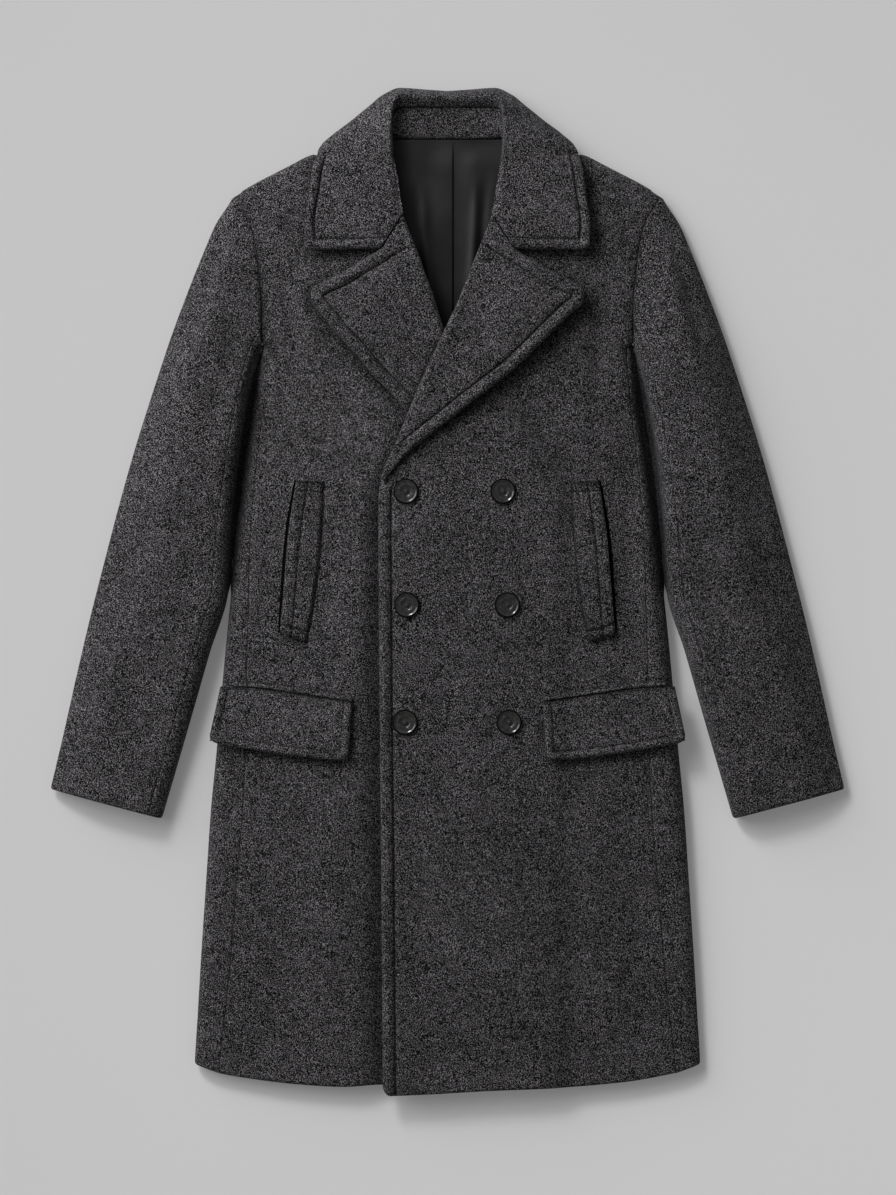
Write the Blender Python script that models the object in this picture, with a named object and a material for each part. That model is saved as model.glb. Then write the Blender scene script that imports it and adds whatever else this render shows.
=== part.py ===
"""Double-breasted wool overcoat, laid flat on its back with its fronts closed.

The coat lies on z = 0 with its back down. +X is the wearer's left, +Y runs from the hem to the
collar and +Z points up, away from the surface. The body, the sleeves and the collar are walls of
cloth round open hollows. "Left" and "right" are the wearer's. Tables are in millimetres.
"""
import bmesh
import bpy
import numpy as np
from mathutils import Matrix, Vector

MM = 0.001

# ---- driving dimensions ------------------------------------------------------------------------
CLOTH = 3.0 * MM             # wall of the heavy wool cloth
LINING = 1.0 * MM            # wall of the satin lining
EDGE_WALL = 5.0 * MM         # upper front where its facing lies behind it
LAPEL_WALL = 4.5 * MM        # cloth, canvas and facing of a lapel
COLLAR_WALL = 4.5 * MM       # upper and under collar
FLAP_WALL = 4.5 * MM         # folded, stitched flap
WELT_WALL = 3.5 * MM
JET_WALL = 2.0 * MM
GAP = 0.3 * MM               # between neighbouring pieces at a seam
LIE = 0.9 * MM               # under a flat-faceted piece that lies on a curved one
SIDE_ROLL = 9.0 * MM         # radius on which a fold lies at the side
FOLD_REACH = 16.0 * MM       # width of the round shoulder of a fold, seen from above
CROWN_REACH = 130.0 * MM     # width over which the cloth still rises behind a fold
FOLD_SHARE = 0.62            # part of the rise that the round shoulder takes
OVERLAP_PAST = 6.0 * MM      # the upper front stays level this far past the under front's edge
OVERLAP_SLOPE = 30.0 * MM    # and steps down to it over this width
ROLL_RISE = 9.0 * MM         # how far the lapel roll lifts the front below it
ROLL_DECAY = 40.0 * MM
SHOULDER_QUIET = 45.0 * MM   # and over how much cloth that lift dies out towards the shoulder seam
LAPEL_LIFT = 8.0 * MM        # how far a lapel's free edge stands off the front
FLAP_LIFT = 2.0 * MM
BUTTON_RADIUS = 12.5 * MM
BUTTON_THICKNESS = 4.4 * MM


def table(names, *rows):
    """Columns of a small table as arrays, in metres."""
    values = np.array(rows, float).T * MM
    return dict(zip(names.split(), values))


def smooth(t):
    t = np.clip(t, 0.0, 1.0)
    return t * t * (3.0 - 2.0 * t)


def line(x, y):
    """Smooth function through the points (x, y), x rising, that never overshoots them."""
    h, slope = np.diff(x), np.diff(y) / np.diff(x)
    tangent = np.concatenate([slope[:1], np.zeros(len(x) - 2), slope[-1:]])
    same = slope[:-1] * slope[1:] > 0.0
    w1, w2 = 2.0 * h[1:] + h[:-1], h[1:] + 2.0 * h[:-1]
    safe = np.where(same, slope[:-1] * slope[1:], 1.0)
    mean = (w1 + w2) * safe / np.where(same, w1 * slope[1:] + w2 * slope[:-1], 1.0)
    tangent[1:-1] = np.where(same, mean, 0.0)

    def value(at):
        at = np.clip(at, x[0], x[-1])
        i = np.clip(np.searchsorted(x, at, side="right") - 1, 0, len(h) - 1)
        t = (at - x[i]) / h[i]
        rise = t * t * (3.0 - 2.0 * t)
        return (y[i] + (y[i + 1] - y[i]) * rise + h[i] * tangent[i] * t * (1.0 - t) ** 2
                - h[i] * tangent[i + 1] * t * t * (1.0 - t))
    return value


def path(*points):
    """Smooth curve P(t), t from 0 to 1 by length, through points in millimetres."""
    p = np.array(points, float) * MM
    s = np.concatenate([[0.0], np.cumsum(np.linalg.norm(np.diff(p, axis=0), axis=1))])
    axes = [line(s / s[-1], p[:, k]) for k in range(p.shape[1])]
    return lambda t: np.stack([axis(t) for axis in axes], axis=-1)


# ---- outline of the body, one half; the other half mirrors it ------------------------------------
# y, distance of the side fold from the centre, of the side seam, of the hidden seam underneath,
# and height of the cloth over the surface at the centre
BODY = table("y fold seam under crown",
             (-500, 266, 240, 236, 20),
             (-480, 265, 238, 235, 21),
             (-408, 261, 230, 231, 25),
             (-300, 254, 221, 224, 28),
             (-227, 249, 215, 219, 30),
             (-165, 243, 212, 213, 32),
             (-95, 237, 211, 207, 34),
             (-23, 230, 209, 200, 35),
             (55, 221, 207, 192, 37),
             (135, 211, 201, 186, 38),
             (215, 199, 192, 184, 38),
             (256, 195.5, 189, 187, 37))
# above the underarm the fold goes on into the sleeve, and the cloth falls less steeply to it
ABOVE = table("y fold crown", (262, 200, 37), (275, 207, 37), (300, 218, 36), (340, 232, 35),
              (380, 245, 33), (420, 250, 31), (500, 252, 28))
ARMHOLE = table("y x",
                (259, 195.5), (279, 195.3), (300, 195.3), (326, 197.3), (350, 200), (369, 202.7),
                (388, 208), (403, 216), (416.3, 226))
SHOULDER = table("x y", (0, 497), (62, 490), (100, 474), (116, 463.5), (128, 454), (142, 451),
                 (158, 449.5), (175, 443.5), (210, 426), (226, 416.3))
HEM_LEFT = table("x y", (-70, -527), (-62, -529), (-30, -528), (42, -524), (115, -521), (187, -515),
                 (238, -506), (256, -502), (266, -495))
HEM_RIGHT = table("x y", (-100, -518), (71, -518), (109, -520), (156, -517.5), (211, -511), (240, -506),
                  (256, -502), (266, -495))
HEM_BACK_RISE = 12.0 * MM     # the back's hem lies this far above the front's
BACK_NECK = table("x y", (0, 477), (25, 478), (45, 483), (62, 494))

fold_x = line(np.append(BODY["y"], ABOVE["y"]), np.append(BODY["fold"], ABOVE["fold"]))
crown_z = line(np.append(BODY["y"], ABOVE["y"]), np.append(BODY["crown"], ABOVE["crown"]))
outer_seam_x = line(np.append(BODY["y"], ARMHOLE["y"][1:]), np.append(BODY["seam"], ARMHOLE["x"][1:]))
under_seam_x = line(np.append(BODY["y"], ARMHOLE["y"][1:]), np.append(BODY["under"], ARMHOLE["x"][1:]))
armhole_x = line(ARMHOLE["y"], ARMHOLE["x"])
shoulder_y = line(SHOULDER["x"], SHOULDER["y"])
hem_left_y = line(HEM_LEFT["x"], HEM_LEFT["y"])
hem_right_y = line(HEM_RIGHT["x"], HEM_RIGHT["y"])
back_neck_y = line(BACK_NECK["x"], BACK_NECK["y"])
SHOULDER_FALL = np.radians(27.0)

# ---- the fronts' inner edges ---------------------------------------------------------------------
# wearer's left front: front edge up to the break, then the roll line and the neck
FRONT_EDGE = table("y x",
                   (-527, -70), (-263, -73), (-155, -72), (-39, -73.5), (56, -75), (100, -73.5), (116, -71),
                   (134, -64.5), (160, -53), (215, -30.5), (277, -2.3), (305, 11), (328, 20), (351, 29),
                   (389, 44), (396, 46.5), (410, 58), (428, 64), (455, 68), (478, 69), (496, 69))
# wearer's right front, mirrored: it ends under the left front, and shares the V above the overlap
UNDER_EDGE = table("y x",
                   (-520, -99), (116, -98), (150, -78), (195, -46), (240, -18), (282, 5), (313, 15),
                   (328, 21), (351, 29), (389, 44), (396, 46.5), (410, 58), (428, 64), (455, 68),
                   (478, 69), (496, 69))
front_edge_x = line(FRONT_EDGE["y"], FRONT_EDGE["x"])
under_edge_x = line(UNDER_EDGE["y"], UNDER_EDGE["x"])
BREAK_Y = 116.0 * MM
FAR = 600.0 * MM              # beyond every edge of the coat
NECK_HALF = 62.0 * MM         # half the width of the back's neck, where the shoulders begin
V_POINT_Y = 282.0 * MM
ROLL_SLANT = 0.87             # cosine that turns a level distance into one square to the roll line


# ---- form of the lying coat ------------------------------------------------------------------------
def fold_rise(inset):
    """0 on a fold, 1 well inside it: a round shoulder, then a slow rise."""
    round_part = np.sqrt(np.clip(1.0 - (1.0 - np.clip(inset / FOLD_REACH, 0.0, 1.0)) ** 2, 0.0, 1.0))
    return FOLD_SHARE * round_part + (1.0 - FOLD_SHARE) * smooth(inset / CROWN_REACH)


def below_shoulder(x, y):
    return (shoulder_y(np.abs(x)) - y) * np.cos(SHOULDER_FALL)


def form(x, y):
    """Height of the outside of the side panels and of the under front."""
    side = fold_rise(fold_x(y) - np.abs(x))
    shoulder = fold_rise(below_shoulder(x, y))
    return SIDE_ROLL + (crown_z(y) - SIDE_ROLL) * side * shoulder


BED_RUN = 2.5 * MM            # distance from the shoulder line over which the bed begins
BED_START, BED_RISE = 395.0 * MM, 30.0 * MM     # height up the back where it begins, and its run
BED_HALF, BED_FADE = 155.0 * MM, 15.0 * MM      # half its width, and the run at its sides


def collar_bed(x, y):
    """Height that the hidden fall of the collar gives the back neck."""
    along, across = smooth((y - BED_START) / BED_RISE), smooth((BED_HALF - np.abs(x)) / BED_FADE)
    return (COLLAR_WALL + LIE) * along * across


def underside(x, y):
    """Height of the outside of the back, flat but for its rounded sides and shoulders."""
    inset = np.minimum(fold_x(y) - np.abs(x), below_shoulder(x, y))
    t = 1.0 - np.clip(inset / SIDE_ROLL, 0.0, 1.0)
    bed = collar_bed(x, y) * smooth(inset / BED_RUN)
    return SIDE_ROLL - (SIDE_ROLL - bed) * np.sqrt(1.0 - t * t)


def overlap(x, y):
    """1 where the upper front lies on the under one, 0 where it lies beside it."""
    return smooth((OVERLAP_PAST + OVERLAP_SLOPE - under_edge_x(y) - x) / OVERLAP_SLOPE)


ROLL_RUN_LEFT, ROLL_RUN_RIGHT = 64.0 * MM, 50.0 * MM     # over which the lapels' roll lifts the fronts


def front_outside(x, y, side):
    """Height of the outside of the front on one side (1 left, the upper one, -1 right)."""
    across = side * x
    if side > 0:
        step = (LIE + EDGE_WALL) * overlap(x, y)
        off_roll, start, run = across - front_edge_x(y), BREAK_Y, ROLL_RUN_LEFT
    else:
        step = 0.0
        off_roll, start, run = across - under_edge_x(y), V_POINT_Y, ROLL_RUN_RIGHT
    rise = ROLL_RISE * smooth((y - start) / run) * smooth(below_shoulder(x, y) / SHOULDER_QUIET)
    return form(x, y) + step + rise * np.exp(-np.clip(off_roll, 0, None) * ROLL_SLANT / ROLL_DECAY)


def front_wall(x, y, side):
    """Wall of a front: thicker on the left where the facing lies behind it."""
    if side < 0:
        return np.full_like(x, CLOTH)
    return CLOTH + (EDGE_WALL - CLOTH) * overlap(x, y)


# ---- meshes ----------------------------------------------------------------------------------------
def material(name, color, roughness):
    made = bpy.data.materials.new(name)
    made.use_nodes = True
    shader = made.node_tree.nodes["Principled BSDF"]
    shader.inputs["Base Color"].default_value = (*color, 1.0)
    shader.inputs["Roughness"].default_value = roughness
    shader.inputs["Metallic"].default_value = 0.0
    return made


def closed_object(name, points, faces, finish):
    mesh = bpy.data.meshes.new(name)
    mesh.from_pydata([tuple(p) for p in points], [], faces)
    bm = bmesh.new()
    bm.from_mesh(mesh)
    if bm.calc_volume(signed=True) < 0:
        bmesh.ops.reverse_faces(bm, faces=bm.faces)
    bm.to_mesh(mesh)
    bm.free()
    mesh.materials.append(finish)
    mesh.shade_smooth()
    mesh.set_sharp_from_angle(angle=np.radians(40.0))
    thing = bpy.data.objects.new(name, mesh)
    bpy.context.collection.objects.link(thing)
    return thing


def wall_object(name, outer, inner, finish):
    """Closed wall between two grids of points of the same shape."""
    rows, cols = outer.shape[:2]
    index = np.arange(rows * cols).reshape(rows, cols)
    rim = np.concatenate([index[0, :-1], index[:-1, -1], index[-1, :0:-1], index[:0:-1, 0]])
    under = rows * cols
    faces = []
    for i in range(rows - 1):
        for j in range(cols - 1):
            quad = [index[i, j], index[i, j + 1], index[i + 1, j + 1], index[i + 1, j]]
            faces.append([int(k) for k in quad])
            faces.append([int(k) + under for k in reversed(quad)])
    for a, b in zip(rim, np.roll(rim, -1)):
        faces.append([int(b), int(a), int(a) + under, int(b) + under])
    points = np.concatenate([outer.reshape(-1, 3), inner.reshape(-1, 3)])
    return closed_object(name, points, faces, finish)


def normals(grid):
    """Unit normals of a grid of points."""
    across = np.cross(np.gradient(grid, axis=1), np.gradient(grid, axis=0))
    return across / np.maximum(np.linalg.norm(across, axis=2, keepdims=True), 1e-9)


def on_height(x, y, z):
    return np.stack([x, y, z + 0.0 * x], axis=-1)


def other_face(grid, wall, towards):
    """The far side of a wall: along the normals, and straight up or down on its seams."""
    n = normals(grid)
    n *= np.where(n[..., 2:] * towards < 0, -1.0, 1.0)
    upright = np.abs(n[..., 2])
    seam = np.zeros(grid.shape[:2], bool)
    seam[:, [0, -1]] = seam[[0, -1], :] = True
    seam &= upright > 0.3
    straight = np.zeros_like(n)
    straight[..., 2] = towards / np.maximum(upright, 0.3)
    step = np.where(seam[..., None], straight, n)
    return grid + step * np.asarray(wall)[..., None]


def panel(name, x, y, bottom, wall, finish):
    """A piece that lies on something: its lower face at a height, its wall straight up."""
    lower = on_height(x, y, bottom)
    return wall_object(name, on_height(x, y, bottom + wall), lower, finish)


# ---- body ------------------------------------------------------------------------------------------
ARM_LEVELS = np.array([259, 262, 268, 279, 300, 326, 350, 370, 387, 399, 407, 412, 414.6, 415.9, 416.3]) * MM
SIDE_LEVELS = np.array([-506, -490, -440, -370, -280, -180, -95, -23, 50, 95, 130, 165, 205, 240, 255]) * MM
OUTER_START, OUTER_END = SIDE_LEVELS[0], ARM_LEVELS[-1]
SIDE_HEM_RISE = 11.0 * MM      # the hem climbs this much from the side seam to the fold


SPLIT_COLUMN = 0.6             # share of the columns that lie on the overlap


def row_shares():
    """Rows of the body panels as shares of the way from hem to shoulder."""
    levels = np.concatenate([SIDE_LEVELS, ARM_LEVELS])
    return (levels - OUTER_START) / (OUTER_END - OUTER_START)


def front_grid(side, columns):
    """Plan of a front: rows from hem to shoulder, columns from its inner edge to the side seam."""
    edge_x, hem_y = (front_edge_x, hem_left_y) if side > 0 else (under_edge_x, hem_right_y)
    v = row_shares()[:, None]
    u = np.linspace(0.0, 1.0, columns)[None, :]
    hem_start, neck_end = edge_x(np.array([-FAR, FAR]))
    inner_level = hem_y(hem_start) + (shoulder_y(neck_end) - hem_y(hem_start)) * v
    outer_level = OUTER_START + (OUTER_END - OUTER_START) * v
    inner_x, outer_x = edge_x(inner_level), outer_seam_x(outer_level) - GAP
    # on the upper front one column runs just past the under front's edge
    split = SPLIT_COLUMN
    if side > 0:
        past = OVERLAP_PAST - under_edge_x((inner_level + outer_level) / 2)
        split = np.clip((past - inner_x) / (outer_x - inner_x), 0.3, 1.0)
    share = np.where(u < SPLIT_COLUMN, split * u / SPLIT_COLUMN,
                     split + (1 - split) * (u - SPLIT_COLUMN) / (1 - SPLIT_COLUMN))
    x = inner_x * (1 - share) + outer_x * share
    hem_x = hem_start + (outer_seam_x(OUTER_START) - hem_start) * share
    top_x = neck_end + (ARMHOLE["x"][-1] - neck_end) * share
    y = hem_y(hem_x) * (1 - v) + shoulder_y(top_x) * v
    y[:, -1] = outer_level[:, 0]
    return side * x, y


def make_front(name, side, finish):
    x, y = front_grid(side, 11)
    outer = on_height(x, y, front_outside(x, y, side))
    inner = other_face(outer, front_wall(x, y, side), -1.0)
    inner[..., 2] = np.maximum(inner[..., 2], SIDE_ROLL + GAP)
    away = np.array([side * np.sin(SHOULDER_FALL), np.cos(SHOULDER_FALL), 0.0])
    inner[-1] = outer[-1] - away * CLOTH
    outer[-1, :, 2] += GAP / 2
    inner[-1, :, 2] = outer[-1, :, 2]
    wall_object(name, outer, inner, finish)


def make_back(finish):
    v = row_shares()[:, None]
    half = np.array([0.14, 62 / 226, 0.46, 0.66, 0.85, 1.0])
    u = np.concatenate([-half[::-1], [0.0], half])[None, :]
    level = OUTER_START + (OUTER_END - OUTER_START) * v
    x = u * (under_seam_x(level) - GAP / 2)
    top_x = np.abs(u) * ARMHOLE["x"][-1]
    top = np.where(top_x < NECK_HALF, back_neck_y(top_x), shoulder_y(top_x))
    hem_x = np.abs(u) * under_seam_x(OUTER_START)
    y = (hem_right_y(hem_x) + HEM_BACK_RISE * (1 - np.abs(u))) * (1 - v) + top * v
    y[:, [0, -1]] = level
    outer = on_height(x, y, underside(x, y))
    inner = other_face(outer, CLOTH + 0 * x, 1.0)
    inner[..., 2] = np.minimum(inner[..., 2], np.maximum(outer[..., 2] + CLOTH, SIDE_ROLL - GAP))
    shoulder = np.abs(x[-1]) > NECK_HALF - 1.0 * MM
    level_out = np.full_like(x[-1], np.cos(SHOULDER_FALL))
    away = np.stack([np.sign(x[-1]) * np.sin(SHOULDER_FALL), level_out, 0 * x[-1]], axis=-1)
    inner[-1][shoulder] = (outer[-1] - away * CLOTH)[shoulder]
    outer[-1, shoulder, 2] -= GAP / 2
    inner[-1, shoulder, 2] = outer[-1, shoulder, 2]
    wall_object("back", outer, inner, finish)


def make_side(name, side, finish):
    """Side panel: from its seam on the front, round the side fold, to its seam underneath."""
    outer, inner = [], []
    for y in SIDE_LEVELS:
        seam = fold_x(y) - outer_seam_x(y) - GAP / 2
        under = fold_x(y) - under_seam_x(y) - GAP / 2
        turn = np.radians([90, 55, 30, 12])
        reach = min(FOLD_REACH, 0.9 * seam)
        above = np.concatenate([[seam], reach * (1 - np.cos(turn)), [0.0]])
        below = np.concatenate([SIDE_ROLL * (1 - np.cos(np.radians([30, 60, 90]))), [under]])
        below = np.minimum(below, np.linspace(0.25, 1.0, 4) * under) if under < SIDE_ROLL * 1.4 else below
        x = fold_x(y) - np.concatenate([above, below])
        z = np.concatenate([form(x[:len(above)], y + 0 * above), underside(x[len(above):], y + 0 * below)])
        ring = np.stack([x, z], axis=-1)
        tangent = np.gradient(ring, axis=0)
        n = np.stack([-tangent[:, 1], tangent[:, 0]], axis=-1)
        n /= np.linalg.norm(n, axis=1, keepdims=True)
        n *= -1.0
        n[0] = (0.0, -1.0 / max(abs(n[0, 1]), 0.5))
        n[-1] = (0.0, 1.0)
        far = ring + CLOTH * n
        seams = np.where(np.arange(len(x)) < len(above), x[0], x[-1])
        far[:, 0] = np.maximum(far[:, 0], seams)
        way = np.clip(1 - (fold_x(y) - x) / np.where(np.arange(len(x)) < len(above), seam, under), 0, 1)
        level = y + SIDE_HEM_RISE * way * smooth((SIDE_LEVELS[2] - y) / (SIDE_LEVELS[2] - SIDE_LEVELS[0]))
        outer.append(np.stack([side * ring[:, 0], level, ring[:, 1]], axis=-1))
        inner.append(np.stack([side * far[:, 0], level, far[:, 1]], axis=-1))
    wall_object(name, np.array(outer), np.array(inner), finish)


# ---- sleeves ---------------------------------------------------------------------------------------
# rings of a sleeve below the armhole: its outer and inner fold in plan, and its height
SLEEVE = table("outer_x outer_y inner_x inner_y crown",
               (232, 406, 197, 255, 35),
               (243, 389.5, 198.5, 250, 36),
               (258, 355, 202, 240, 38),
               (273, 317.6, 206, 222, 39),
               (290, 272, 211, 195, 40),
               (308, 218, 217.5, 154, 40),
               (328, 155, 223, 110, 39),
               (345, 95, 227.5, 60, 38),
               (361, 34, 231, 0, 36),
               (377, -29, 250, -63, 34),
               (391.7, -92, 268, -126, 32),
               (405, -152, 284, -181, 30),
               (418, -207, 300.6, -238, 28))
SLEEVE_ROLL = 10.0 * MM
FRONT_SEAM = 3                # the sleeve's front seam leaves the armhole at this arm level
BACK_SEAM = 8                 # and its back seam, underneath, at this one
CAP_RINGS = 4                 # the armhole's curve and form fade out over these rings


def sleeve_section(side):
    """Top and bottom lines of each ring, from the outer fold to the inner one."""
    levels = ARM_LEVELS[::-1]
    arm = np.stack([armhole_x(levels) + GAP * 1.5, levels], axis=-1)
    share = np.concatenate([[0.0], np.cumsum(np.linalg.norm(np.diff(arm, axis=0), axis=1))])
    share /= share[-1]
    bow = arm - (arm[0] + (arm[-1] - arm[0]) * share[:, None])
    tops = [on_height(arm[:, 0], arm[:, 1], front_outside(side * arm[:, 0], arm[:, 1], side))]
    bottoms = [on_height(arm[:, 0], arm[:, 1], underside(arm[:, 0], arm[:, 1]))]
    arm_top, arm_bottom = tops[0][:, 2], bottoms[0][:, 2]
    for k in range(len(SLEEVE["crown"])):
        outer = np.array([SLEEVE["outer_x"][k], SLEEVE["outer_y"][k]])
        inner = np.array([SLEEVE["inner_x"][k], SLEEVE["inner_y"][k]])
        fade = smooth((k + 1) / (CAP_RINGS + 1))
        plan = outer + (inner - outer) * share[:, None] + bow * (1 - fade)
        width = np.linalg.norm(inner - outer)
        dome = np.sqrt(np.clip(1 - np.abs(2 * share - 1) ** 2.6, 0, 1))
        edge = 1 - np.clip(np.minimum(share, 1 - share) * width / SLEEVE_ROLL, 0, 1)
        top = SLEEVE_ROLL + (SLEEVE["crown"][k] - SLEEVE_ROLL) * dome
        bottom = SLEEVE_ROLL - SLEEVE_ROLL * np.sqrt(1 - edge ** 2)
        tops.append(on_height(plan[:, 0], plan[:, 1], arm_top * (1 - fade) + top * fade))
        bottoms.append(on_height(plan[:, 0], plan[:, 1], arm_bottom * (1 - fade) + bottom * fade))
    return tops, bottoms


def make_sleeve(name_top, name_under, side, finish):
    tops, bottoms = sleeve_section(side)
    last = len(ARM_LEVELS) - 1
    front_seam, back_seam = last - FRONT_SEAM, last - BACK_SEAM
    pieces = {name_top: ([], []), name_under: ([], [])}
    for top, bottom in zip(tops, bottoms):
        across = top[-1, :2] - top[0, :2]
        across /= np.linalg.norm(across)
        fold = [top[0], top[-1]]
        loop = np.concatenate([bottom[back_seam:0:-1], top[:1], top[1:front_seam + 1]])
        rest = np.concatenate([top[front_seam:last], top[last:], bottom[last - 1:back_seam - 1:-1]])
        for name, ring in ((name_top, loop), (name_under, rest)):
            outer, inner = pieces[name]
            local = np.stack([(ring[:, :2] - fold[0][:2]) @ across, ring[:, 2]], axis=-1)
            tangent = np.gradient(local, axis=0)
            n = np.stack([tangent[:, 1], -tangent[:, 0]], axis=-1)
            n /= np.linalg.norm(n, axis=1, keepdims=True)
            upright = np.abs(n[[0, -1], 1])
            n[0] = (0.0, np.sign(n[0, 1]) / max(upright[0], 0.5))
            n[-1] = (0.0, np.sign(n[-1, 1]) / max(upright[1], 0.5))
            far = ring.copy()
            far[:, :2] += CLOTH * n[:, :1] * across
            far[:, 2] += CLOTH * n[:, 1]
            outer.append(ring.copy())
            inner.append(far)
    for name, (outer, inner) in pieces.items():
        outer, inner = np.array(outer), np.array(inner)
        # half the seam's gap at both lengthwise seams
        for grid in (outer, inner):
            for column, step in ((0, 1), (-1, -2)):
                way = grid[:, step] - grid[:, column]
                way[:, 2] = 0.0
                grid[:, column] += GAP / 2 * way / np.linalg.norm(way, axis=1, keepdims=True)
            grid[..., 0] *= side
        wall_object(name, outer, inner, finish)


# ---- what lies on the fronts -------------------------------------------------------------------------
def off_roll(y, x, side):
    """Distance from the roll line, for a point on the wearer's left (side 1) or right (side -1)."""
    edge = front_edge_x if side > 0 else under_edge_x
    return np.clip(side * x - edge(y), 0.0, None) * ROLL_SLANT


# the lapels lie close along their roll and lift off the fronts towards their free edges
LIFT_START = {1: BREAK_Y, -1: 205.0 * MM}
LIFT_RISE, LIFT_OFF_ROLL, LIFT_RUN, TIGHT_RUN = 75.0 * MM, 10.0 * MM, 70.0 * MM, 45.0 * MM


def turned_bottom(x, y, side):
    """Height of the underside of the lapels and collar leaves where they lie on a front."""
    fade = smooth((y - LIFT_START[side]) / LIFT_RISE)
    lift = LAPEL_LIFT * smooth((off_roll(y, x, side) - LIFT_OFF_ROLL) / LIFT_RUN) * fade
    tight = LIE * (1 - smooth((y - LAPEL_START[side]) / TIGHT_RUN))
    return front_outside(x, y, side) + LIE + tight + lift


GORGE_TOP, NOTCH = (46.5, 396.4), (70, 360.5)
LAPEL_END = path(GORGE_TOP, (58, 377), NOTCH, (89, 348.5), (112, 334), (131, 325.5), (141.5, 319), (145, 313))
LAPEL_LEFT_EDGE = path((-66, 117), (-61.5, 123), (-51, 136.5), (-38, 148.7), (-23.3, 160.5), (1.3, 179.6),
                       (22.4, 196.5), (46.3, 214.7), (69, 233), (91, 254), (111, 273.7), (128, 290.6),
                       (141.5, 303), (145, 313))
LAPEL_RIGHT_EDGE = path((40, 180), (45, 191.6), (58.6, 207.7), (78, 227.3), (96.5, 250), (115, 269.5),
                        (132, 290.6), (141.5, 302), (145, 313))
LAPEL_START = {1: 118 * MM, -1: 174 * MM}
TAIL_EDGE = table("y x", (174, 36), (181, 32.6), (215, 18.5), (245, 4.4), (265, 1), (282, 5))


def make_lapel(name, side, finish):
    """Turned-back lapel: rows from its lowest point to the gorge, columns from roll to free edge."""
    v = np.linspace(0.0, 1.0, 12)
    u = np.linspace(0.0, 1.0, 9)
    level = LAPEL_START[side] + (GORGE_TOP[1] * MM - LAPEL_START[side]) * v
    roll = front_edge_x(level) if side > 0 else under_edge_x(level)
    if side < 0:
        roll = np.where(level < V_POINT_Y, line(TAIL_EDGE["y"], TAIL_EDGE["x"])(level), roll)
    start = np.stack([roll + GAP, level], axis=-1)
    free = (LAPEL_LEFT_EDGE if side > 0 else LAPEL_RIGHT_EDGE)(v)
    plan = start[:, None] * (1 - u[None, :, None]) + free[:, None] * u[None, :, None]
    straight = start[-1] * (1 - u[:, None]) + free[-1] * u[:, None]
    plan += smooth((v - 0.45) / 0.55)[:, None, None] ** 1.5 * (LAPEL_END(u) - straight)[None]
    x, y = side * plan[..., 0], plan[..., 1]
    panel(name, x, y, turned_bottom(x, y, side), LAPEL_WALL, finish)


# stations of the collar from the gorge round to the centre back. fold: its upper roll; turn: the middle
# of the leaf; crest: the leaf's free edge, or the silhouette where the fall goes over the shoulder and
# ends "past" further on, under the coat. The heights of the first ones are over the front's cloth.
COLLAR = table("fold_x fold_y fold_z turn_x turn_y turn_z crest_x crest_y crest_z past seam_x seam_y seam_z",
               (49.5, 399, 0, 72.0, 362.8, 0, 149, 358, 0, 0, 48.0, 400, 0),
               (51, 412, 0, 95, 391, 0, 150, 384, 0, 0, 49.0, 413, -3),
               (55, 432, 0, 97, 420, 0, 146, 413, 0, 0, 52.0, 433, -7),
               (58, 452, 0, 98, 446, 0, 141, 443, 0, 0, 55.5, 453, -10),
               (59.5, 467, 43, 98, 462, 34, 137.5, 459.5, 15.5, 0, 57, 467, 31),
               (59.9, 478, 42, 96, 475, 33, 132.5, 471, 8.5, 7, 57.4, 475.5, 28.5),
               (60, 488, 40, 90, 487, 30, 121.5, 481, 8, 20, 57.5, 484, 26),
               (59, 500, 37, 79, 500, 26, 104, 494, 8, 40, 56.5, 493, 23),
               (57.5, 511, 33, 70, 510.5, 24, 84, 508, 8, 56, 53.5, 500, 20.5),
               (54, 519, 29, 60, 519, 22, 66, 521.5, 8, 68, 48, 505, 18),
               (45, 521.5, 26, 47, 525, 20, 48, 529, 8, 75, 40, 508, 16),
               (22, 519.5, 23, 22.5, 524, 17, 23, 527.2, 7, 78, 21, 510, 15),
               (0, 518.5, 22, 0, 523, 16, 0, 525.6, 7, 78, 0, 510.3, 14.5))
LYING_STATIONS = 4            # these lie on the fronts from roll to edge
UNDER_INSET = 9.0 * MM        # the hidden fall reaches the surface this far in from the silhouette
BACK_FALL_X = 0.75            # the fall under the coat runs on towards this share of the crest's x
BACK_FALL_Y = 85.0 * MM       # and towards a point this far below it
NECK = table("x y z",
             (57, 440, 28), (59, 457, 22), (60, 468, 18.5), (59.6, 475, 17), (58.6, 480, 16),
             (55.5, 483, 15), (50, 482.5, 14), (44, 481, 13.5), (38, 479.5, 13),
             (20, 477.5, 12.5), (0, 477, 12.5))
STAND_START = 2
STAND_LEAST = 5.0 * MM        # height of the stand where it runs out under the leaves
COLLAR_COLUMNS, CREST_COLUMN = 14, 8


def collar_station(k):
    c = {name: values[k] for name, values in COLLAR.items()}
    points = []
    for part in ("seam", "fold", "turn", "crest"):
        x, y, z = (c[f"{part}_{axis}"] for axis in "xyz")
        if k < LYING_STATIONS:
            z = z + float(turned_bottom(np.array(x), np.array(y), 1)) + COLLAR_WALL + 2.0 * LIE
        points.append((x, y, z))
    crest = np.array(points[-1])
    if c["past"] > 0.0:
        back = np.array([crest[0] * BACK_FALL_X, crest[1] - BACK_FALL_Y, 0.0]) - crest * (1, 1, 0)
        back /= np.linalg.norm(back)
        flat = crest * (1, 1, 0)
        if c["past"] > UNDER_INSET * 1.2:
            points.append(flat + back * UNDER_INSET)
            points.append(flat + back * c["past"])
        else:
            points.append(flat + back * c["past"] / 3)
    return np.array(points)


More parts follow.
